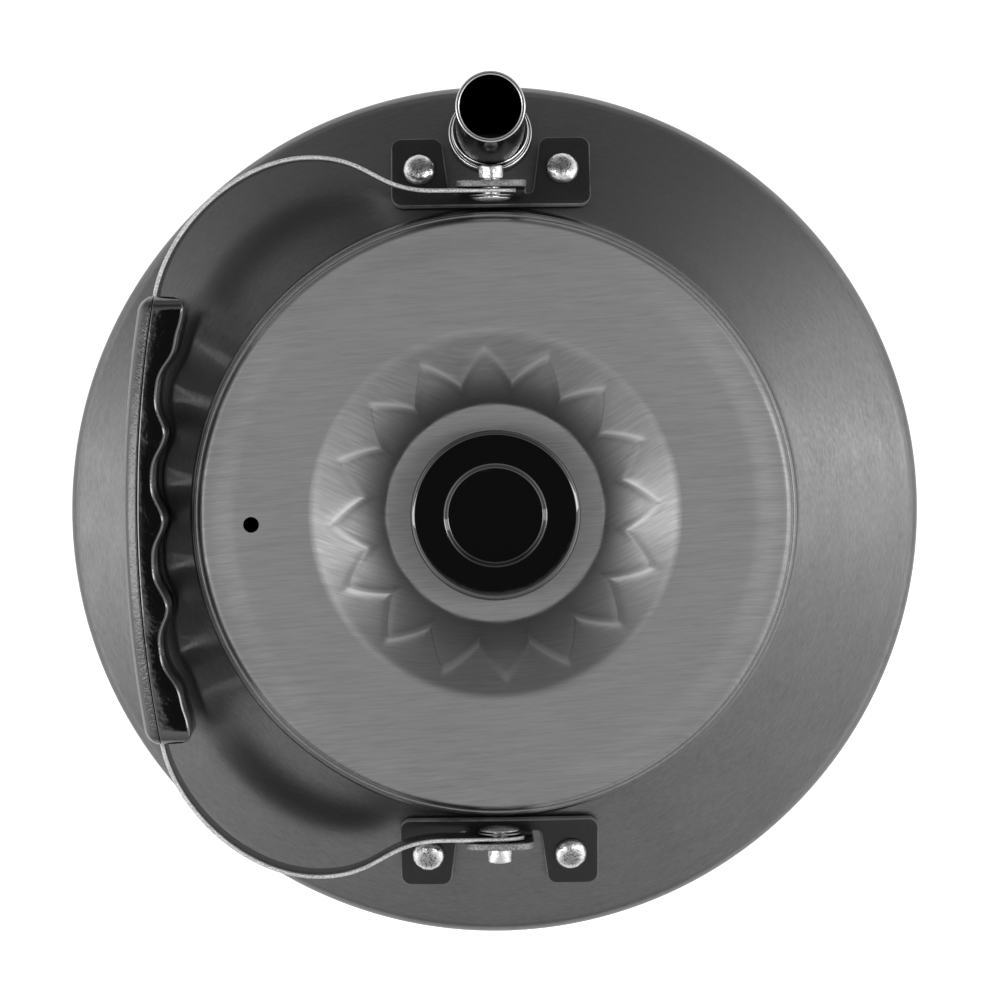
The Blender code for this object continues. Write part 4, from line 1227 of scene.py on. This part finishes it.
# Rings on the well's floor, and steps up each side of the fold
FLOOR_RINGS = (SCREW_HOLE, 0.008, 0.014, 0.019)
WALL_STEPS = 30
# Steps round the vent hole
VENT_STEPS = 40


def well_slope(size):
    """Angle at which the well's wall rises."""
    return math.atan2(size.well_depth, size.well_radius - size.floor_radius)


def fold_radius(size, around):
    """Radius of the zigzag fold at an angle round the well."""
    phase = around * size.pleats / (2 * math.pi)
    off = abs(phase - round(phase))
    zigzag = 1 - 4 * (math.sqrt(off * off + FOLD_SOFT * FOLD_SOFT) - FOLD_SOFT)
    return (size.well_radius + size.floor_radius) / 2 + size.pleat_swing * zigzag


def well_wall(size, radius):
    """Height of the well's plain wall, rounded at its foot and at its lip."""
    floor = size.panel_height - size.well_depth
    rise = well_slope(size)
    reach = math.tan(rise / 2)
    foot = size.floor_radius - size.well_foot * reach
    lip = size.well_radius + size.well_lip * reach
    if radius <= foot:
        return floor
    if radius < foot + size.well_foot * math.sin(rise):
        off = radius - foot
        return floor + size.well_foot - math.sqrt(size.well_foot ** 2 - off * off)
    if radius < lip - size.well_lip * math.sin(rise):
        return floor + (radius - size.floor_radius) * math.tan(rise)
    if radius < lip:
        off = lip - radius
        return size.panel_height - size.well_lip + math.sqrt(size.well_lip ** 2 - off * off)
    return size.panel_height


def well_height(size, radius, around):
    """Height of the well's wall with its zigzag fold and the rounded ridge along it."""
    fold = fold_radius(size, around)
    inner, outer = size.floor_radius + FOLD_MARGIN, size.well_radius + WALL_MARGIN
    if radius < fold:
        share = (radius - inner) / (fold - inner)
    else:
        share = (outer - radius) / (outer - fold)
    share = min(max(share, 0.0), 1.0)
    off = (radius - fold) * FOLD_SLANT / size.ridge_width
    return (well_wall(size, radius) + size.pleat_crest * share ** 1.5
            + size.ridge_height * math.exp(-off * off) * smooth_step(3 * share))


def fold_light_mark(size, spot):
    """How much light is painted on the fold at a place: a highlight above 0 where it runs along x,
    a shade line below 0 where it runs across.
    """
    radius, around = math.hypot(spot.x, spot.y), math.atan2(spot.y, spot.x)

    def fold_point(turn):
        reach = fold_radius(size, turn)
        return reach * math.cos(turn), reach * math.sin(turn)

    ahead, behind = fold_point(around + FOLD_TURN), fold_point(around - FOLD_TURN)
    along = abs(Vector((ahead[0] - behind[0], ahead[1] - behind[1])).normalized().x)
    off = abs(radius - fold_radius(size, around)) * FOLD_SLANT
    # The wide band is a painted highlight and the thin line is painted shade.
    wide = math.exp(-(off / FOLD_HIGHLIGHT_WIDTH) ** 4) * smooth_step((along - 0.45) / 0.45)
    fold_shade_line = math.exp(-(off / FOLD_SHADE_WIDTH) ** 2) * smooth_step((0.5 - along) / 0.3)
    return wide - FOLD_SHADE_STRENGTH * fold_shade_line


def build_lid():
    """The pressed lid: pleated well, falling panel, bead, skirt and vent."""
    size = settings().lid
    sheet = size.sheet
    floor = size.panel_height - size.well_depth
    rise = well_slope(size)
    foot, end = size.floor_radius - WALL_MARGIN, size.well_radius + WALL_MARGIN
    edge = size.radius - size.panel_round
    lip = size.well_radius + size.well_lip * math.tan(rise / 2)
    flat = [*FLOOR_RINGS, foot]
    panel = [end + (lip - end) * i / 4 for i in range(1, 5)]
    panel += [lip + (edge - size.fall_run - lip) * i / 8 for i in range(1, 8)]
    top = [(r, well_wall(size, r)) for r in panel]
    top += [(edge - size.fall_run * (1 - i / 12),
             size.panel_height - size.fall * smooth_step(i / 12) ** 0.8) for i in range(13)]
    corner = arc((edge, size.panel_height - size.fall - size.panel_round), size.panel_round,
                 90, 0, 10)[1:]
    bead = arc(BEAD, BEAD_ROUND, 120, -90, 12)
    bottom = rounded([(size.radius, SKIRT_TOP, 0), (size.radius, -size.skirt, 3 * CRISP),
                      (size.radius - sheet, -size.skirt, 3 * CRISP),
                      (size.radius - sheet, 0.0, 0)], closed=False)[:-1]
    angles = full_turn(LID_STEPS)
    folds = [fold_radius(size, a) for a in angles]

    def wall_ring(start, stop, share, drop):
        ring = []
        for i, a in enumerate(angles):
            low = folds[i] if start is None else start
            high = folds[i] if stop is None else stop
            radius = low + (high - low) * share
            height = well_height(size, radius, a) - drop
            ring.append((radius * math.cos(a), radius * math.sin(a), height))
        return ring

    def wall_rings(drop):
        shares = [i / WALL_STEPS for i in range(WALL_STEPS)]
        inner = [wall_ring(foot, None, 1 - (1 - share) ** 1.5, drop) for share in shares[1:]]
        outer = [wall_ring(None, end, share ** 1.5, drop) for share in shares]
        return inner + outer

    outside = top + corner + [(size.radius, BEAD_TOP)] + bead + bottom
    inside = [(size.radius - sheet, INNER_SKIRT_TOP),
              (edge - CRISP, size.panel_height - size.fall - sheet - CRISP)]
    inside += [(radius, height - sheet) for radius, height in top[-2::-1]]
    rings = [circle(radius, floor, angles) for radius in flat] + wall_rings(0.0)
    rings += [circle(*point, angles) for point in outside + inside]
    rings += wall_rings(sheet / math.cos(rise))[::-1]
    rings += [circle(radius, floor - sheet, angles) for radius in flat[::-1]]
    lid = skin("lid_pressing", rings, closed=True)
    lid.matrix_world = Matrix.Translation((0, 0, size.seat)) @ Matrix.Rotation(size.turn, 4, "Z")
    vent = circle(size.vent_place, size.seat, [size.vent_angle])[0]
    cut(lid, [cutter(size.vent_radius, 3 * CUT, Matrix.Translation(vent), VENT_STEPS)])
    mesh = lid.data
    # The lid was brushed straight across, so its brushing is laid out in plan
    brush = mesh.uv_layers["brush"].data
    for loop in mesh.loops:
        spot = mesh.vertices[loop.vertex_index].co
        brush[loop.index].uv = (spot.x, spot.y + spot.z)
    # The fold attribute carries painted light: a highlight where the fold runs along x, and a shade
    # line where it runs across.
    fold_light_marks = mesh.attributes.new("fold", "FLOAT", "POINT")
    for vertex, mark in zip(mesh.vertices, fold_light_marks.data):
        if foot < math.hypot(vertex.co.x, vertex.co.y) < end:
            mark.value = fold_light_mark(size, vertex.co)
    dress(lid, "lid", sharp=50.0)
    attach(lid, "lid")
    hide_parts("lid")


# Roundings of the knob's upper and lower rim and of its stem's root
KNOB_ROUNDS = (0.0011, 0.00115, 0.0008)
# How far the screw's hole and the screw reach up from the well's floor
SCREW_REACH = 0.0085
# Screw: radii of shank and head, and height of the head
SCREW_SHANK = 0.002
SCREW_HEAD = 0.0038
SCREW_HEAD_HEIGHT = 0.0022
# Length and width of each of the two slots across the screw's head
SLOT = (0.005, 0.001)
# Washer under the screw's head: radius and thickness
KNOB_WASHER = 0.006
KNOB_WASHER_SHEET = 0.001


def build_knob():
    """The dished knob on its stem, with its washer and slotted screw below the lid."""
    size = settings().lid
    upper, lower, root = KNOB_ROUNDS
    dish = size.knob_top - size.dish_depth
    under = size.knob_top - size.knob_thickness
    foot = size.panel_height - size.well_depth + GAP
    profile = rounded([
        (0.0, dish, 0), (size.dish_floor, dish, 3 * CRISP),
        (size.dish_radius, size.knob_top, SOFT),
        (size.knob_radius - CRISP, size.knob_top, upper), (size.knob_radius, under, lower),
        (size.knob_stem, under, root), (size.knob_stem, foot, SOFT), (SCREW_HOLE, foot, 0),
        (SCREW_HOLE, foot + SCREW_REACH, 0), (0.0, foot + SCREW_REACH, 0),
    ], closed=False)
    knob = turned("knob", profile, 2 * TURNED_STEPS)
    knob.location.z = size.seat
    dress(knob, "knob")
    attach(knob, "lid")
    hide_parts("lid_knob")

    top = size.panel_height - size.well_depth - size.sheet - GAP
    bottom = top - KNOB_WASHER_SHEET
    flat = rounded([(SCREW_HOLE, top, CRISP), (KNOB_WASHER, top, EASED),
                    (KNOB_WASHER, bottom, EASED), (SCREW_HOLE, bottom, CRISP)])
    washer = turned("knob_under_washer", flat, closed=True)
    washer.location.z = size.seat
    dress(washer, "steel")
    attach(washer, "lid")
    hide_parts("knob_washer")

    head = bottom - GAP
    face = head - SCREW_HEAD_HEIGHT
    tip = size.panel_height - size.well_depth + SCREW_REACH
    screw_profile = rounded([
        (0.0, tip, 0), (SCREW_SHANK, tip, SOFT), (SCREW_SHANK, head, 0),
        (SCREW_HEAD, head, CRISP), (SCREW_HEAD, face, SCREW_HEAD_HEIGHT / 2), (0.0, face, 0),
    ], closed=False)
    screw = turned("knob_under_screw", screw_profile)
    screw.location.z = size.seat
    bpy.context.view_layer.update()
    tools = []
    for spans in (SLOT[::-1], SLOT):
        shape = bmesh.new()
        scale = Matrix.Diagonal((*spans, SCREW_HEAD_HEIGHT, 1.0))
        bmesh.ops.create_cube(shape, size=1.0, matrix=scale)
        slot = as_object("slot", shape)
        slot.location.z = size.seat + face
        tools.append(slot)
    cut(screw, tools)
    dress(screw, "steel")
    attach(screw, "lid")
    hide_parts("knob_screw")


# Stage

# Radius of the floor and how far it lies below the kettle, so that the two don't flicker
FLOOR_RADIUS = 6.0
FLOOR_DROP = 0.0002
# Brightness of the surroundings from -y to +y, as (place, level)
FILL = ((0.08, 0.52), (0.17, 0.62), (0.35, 0.72), (0.5, 0.76), (0.65, 0.42), (0.82, 0.09),
        (0.92, 0.36))
# Camera: focal length for a sensor of some width, in millimetres, its place, way and roll
SENSOR = 36.0
LENS = 152.66
CAMERA_PLACE = (-0.005, 0.042, 0.981)
CAMERA_WAY = (0.00663, -0.0428, -1.0)
CAMERA_ROLL = math.radians(-0.74)
# Where both softboxes aim, and their sides
LAMP_AIM = (0, 0, 0.06)
LAMP_SIZE = (0.22, 1.0)


def floor_material():
    """A pale floor that reads as white to the camera and greyer in metal, and keeps the shadow."""
    made = bpy.data.materials.new("studio_floor")
    made.use_nodes = True
    tree = made.node_tree
    tree.nodes.clear()
    ray = put(tree, "ShaderNodeLightPath").outputs
    metal = maths(tree, "MAXIMUM", ray["Is Glossy Ray"], ray["Is Transmission Ray"])
    seen = total(tree, (ray["Is Camera Ray"], 0.75), (metal, 0.25))
    glow = put(tree, "ShaderNodeEmission", {"Strength": seen})
    matt = put(tree, "ShaderNodeBsdfDiffuse", {"Color": (*settings().colours.floor, 1.0)})
    both = put(tree, "ShaderNodeAddShader", {0: matt.outputs[0], 1: glow.outputs[0]})
    put(tree, "ShaderNodeOutputMaterial", {"Surface": both.outputs[0]})
    return made


def build_floor():
    """A wide flat floor, so that the stage looks the same from every side."""
    shape = bmesh.new()
    bmesh.ops.create_circle(shape, cap_ends=True, segments=64, radius=FLOOR_RADIUS)
    floor = as_object("studio_floor", shape)
    floor.location.z = -FLOOR_DROP
    floor.data.materials.append(floor_material())


def build_world():
    """Soft fill that is white to the camera, darker to front and back and over the lens."""
    world = bpy.data.worlds.new("studio")
    bpy.context.scene.world = world
    world.use_nodes = True
    tree = world.node_tree
    tree.nodes.clear()
    way = put(tree, "ShaderNodeTexCoord").outputs["Generated"]
    parts = put(tree, "ShaderNodeSeparateXYZ", {0: way}).outputs
    depth = spread(tree, parts[1], -1.0, 1.0)
    ramp = put(tree, "ShaderNodeValToRGB", {"Fac": depth})
    stops = ramp.color_ramp.elements
    stops[0].position, stops[1].position = FILL[0][0], FILL[-1][0]
    for place, _ in FILL[1:-1]:
        stops.new(place)
    for stop, (_, level) in zip(stops, FILL):
        stop.color = (level, level, level, 1.0)
    lens = spread(tree, parts[2], 0.975, 0.99, 1.0, 0.03)
    off_axis = maths(tree, "ABSOLUTE", parts[0])
    sides = spread(tree, off_axis, 0.35, 0.8, 0.0, 0.15)
    low = spread(tree, parts[2], 0.4, 0.65, 1.0, 0.0)
    beam = maths(tree, "MULTIPLY", spread(tree, off_axis, 0.5, 0.95, 0.0, 0.8), low)
    dim = spread(tree, parts[2], 0.1, 0.5, 0.75, 1.0)
    fill = maths(tree, "MULTIPLY", maths(tree, "MULTIPLY", ramp.outputs["Color"], lens), dim)
    soft = maths(tree, "ADD", fill, maths(tree, "ADD", sides, beam))
    seen = put(tree, "ShaderNodeLightPath").outputs["Is Camera Ray"]
    strength = put(tree, "ShaderNodeMix", {0: seen, 2: soft, 3: 1.0}, data_type="FLOAT").outputs[0]
    back = put(tree, "ShaderNodeBackground", {"Color": (1.0, 1.0, 1.0, 1.0), "Strength": strength})
    put(tree, "ShaderNodeOutputWorld", {"Surface": back.outputs[0]})


def build_softbox(name, place, power):
    """A large soft lamp aimed at the kettle."""
    lamp = bpy.data.lights.new(name, "AREA")
    lamp.shape = "RECTANGLE"
    lamp.size, lamp.size_y = LAMP_SIZE
    lamp.energy = power
    obj = bpy.data.objects.new(name, lamp)
    bpy.context.scene.collection.objects.link(obj)
    obj.location = place
    obj.rotation_euler = (Vector(LAMP_AIM) - Vector(place)).to_track_quat("-Z", "Y").to_euler()


def build_camera():
    """The camera high above the kettle, slightly towards the tube, as in the photograph."""
    data = bpy.data.cameras.new("camera")
    camera = bpy.data.objects.new("camera", data)
    bpy.context.scene.collection.objects.link(camera)
    data.sensor_width = SENSOR
    data.lens = LENS
    data.clip_end = 20.0
    ahead = Vector(CAMERA_WAY).normalized()
    right = ahead.cross(Vector((0.0, 1.0, 0.0))).normalized()
    up = right.cross(ahead)
    look = Matrix((right, up, -ahead)).transposed() @ Matrix.Rotation(CAMERA_ROLL, 3, "Z")
    camera.matrix_world = Matrix.Translation(CAMERA_PLACE) @ look.to_4x4()
    bpy.context.scene.camera = camera


# Operators

class KETTLE_OT_finishes(bpy.types.Operator):
    """Build the kettle's finishes"""

    bl_idname = "kettle.finishes"
    bl_label = "Finishes"

    def execute(self, context):
        make_finishes()
        return {"FINISHED"}


class KETTLE_OT_shell(bpy.types.Operator):
    """Build the spun shell"""

    bl_idname = "kettle.shell"
    bl_label = "Shell"

    def execute(self, context):
        build_shell()
        return {"FINISHED"}


class KETTLE_OT_spout(bpy.types.Operator):
    """Build the pouring tube and the ring at its root"""

    bl_idname = "kettle.spout"
    bl_label = "Pouring tube"

    def execute(self, context):
        build_tube()
        build_ring()
        return {"FINISHED"}


class KETTLE_OT_brackets(bpy.types.Operator):
    """Build both brackets"""

    bl_idname = "kettle.brackets"
    bl_label = "Brackets"

    def execute(self, context):
        for end, side in ENDS:
            build_bracket(end, side)
        return {"FINISHED"}


class KETTLE_OT_rivets(bpy.types.Operator):
    """Build the four bracket rivets"""

    bl_idname = "kettle.rivets"
    bl_label = "Bracket rivets"

    def execute(self, context):
        for end, side in ENDS:
            for hand, place in rivet_places(side).items():
                build_bracket_rivet(end, side, hand, place)
        return {"FINISHED"}


class KETTLE_OT_pins(bpy.types.Operator):
    """Build the bail's two pins and their washers"""

    bl_idname = "kettle.pins"
    bl_label = "Bail pins"

    def execute(self, context):
        for end, side in ENDS:
            build_pin(end, side)
        return {"FINISHED"}


class KETTLE_OT_strap(bpy.types.Operator):
    """Build the bail's strap"""

    bl_idname = "kettle.strap"
    bl_label = "Strap"

    def execute(self, context):
        build_strap()
        return {"FINISHED"}


class KETTLE_OT_grip(bpy.types.Operator):
    """Build both shells of the grip"""

    bl_idname = "kettle.grip"
    bl_label = "Grip"

    def execute(self, context):
        build_grip_half("grip_back", "grip_outer_shell", True)
        build_grip_half("grip_front", "grip_inner_shell", False)
        return {"FINISHED"}


class KETTLE_OT_lid(bpy.types.Operator):
    """Build the pressed lid"""

    bl_idname = "kettle.lid"
    bl_label = "Lid"

    def execute(self, context):
        build_lid()
        return {"FINISHED"}


class KETTLE_OT_knob(bpy.types.Operator):
    """Build the knob with its washer and screw"""

    bl_idname = "kettle.knob"
    bl_label = "Knob"

    def execute(self, context):
        build_knob()
        return {"FINISHED"}


class KETTLE_OT_stage(bpy.types.Operator):
    """Build the floor, the light and the camera"""

    bl_idname = "kettle.stage"
    bl_label = "Stage"

    def execute(self, context):
        build_floor()
        build_world()
        build_softbox("left_softbox", (-0.85, -0.05, 1.10), 2.25)
        build_softbox("right_softbox", (0.85, 0.10, 1.10), 2.85)
        build_camera()
        context.scene.view_settings.view_transform = "Standard"
        return {"FINISHED"}


STEPS = (
    KETTLE_OT_finishes, KETTLE_OT_shell, KETTLE_OT_spout, KETTLE_OT_brackets, KETTLE_OT_rivets,
    KETTLE_OT_pins, KETTLE_OT_strap, KETTLE_OT_grip, KETTLE_OT_lid, KETTLE_OT_knob,
    KETTLE_OT_stage,
)
GROUPS = (
    KettleShellSizes, KettleSpoutSizes, KettleBracketSizes, KettleBailSizes, KettleLidSizes,
    KettleColours, KettleSettings,
)


class KETTLE_PT_panel(bpy.types.Panel):
    """Lists the kettle's pieces"""

    bl_label = "Kettle"
    bl_idname = "KETTLE_PT_panel"
    bl_space_type = "VIEW_3D"
    bl_region_type = "UI"
    bl_category = "Kettle"

    def draw(self, context):
        for step in STEPS:
            self.layout.operator(step.bl_idname, text=step.bl_label)


def register():
    """Register the classes and attach the settings to the scene."""
    for cls in GROUPS + STEPS + (KETTLE_PT_panel,):
        bpy.utils.register_class(cls)
    bpy.types.Scene.kettle = PointerProperty(type=KettleSettings)


def unregister():
    """Detach the settings and unregister the classes."""
    del bpy.types.Scene.kettle
    for cls in reversed(GROUPS + STEPS + (KETTLE_PT_panel,)):
        bpy.utils.unregister_class(cls)


def main():
    """Build the kettle and its stage."""
    register()
    bpy.ops.kettle.finishes()
    bpy.ops.kettle.shell()
    bpy.ops.kettle.spout()
    bpy.ops.kettle.brackets()
    bpy.ops.kettle.rivets()
    bpy.ops.kettle.pins()
    bpy.ops.kettle.strap()
    bpy.ops.kettle.grip()
    bpy.ops.kettle.lid()
    bpy.ops.kettle.knob()
    bpy.ops.kettle.stage()


if __name__ == "__main__":
    main()
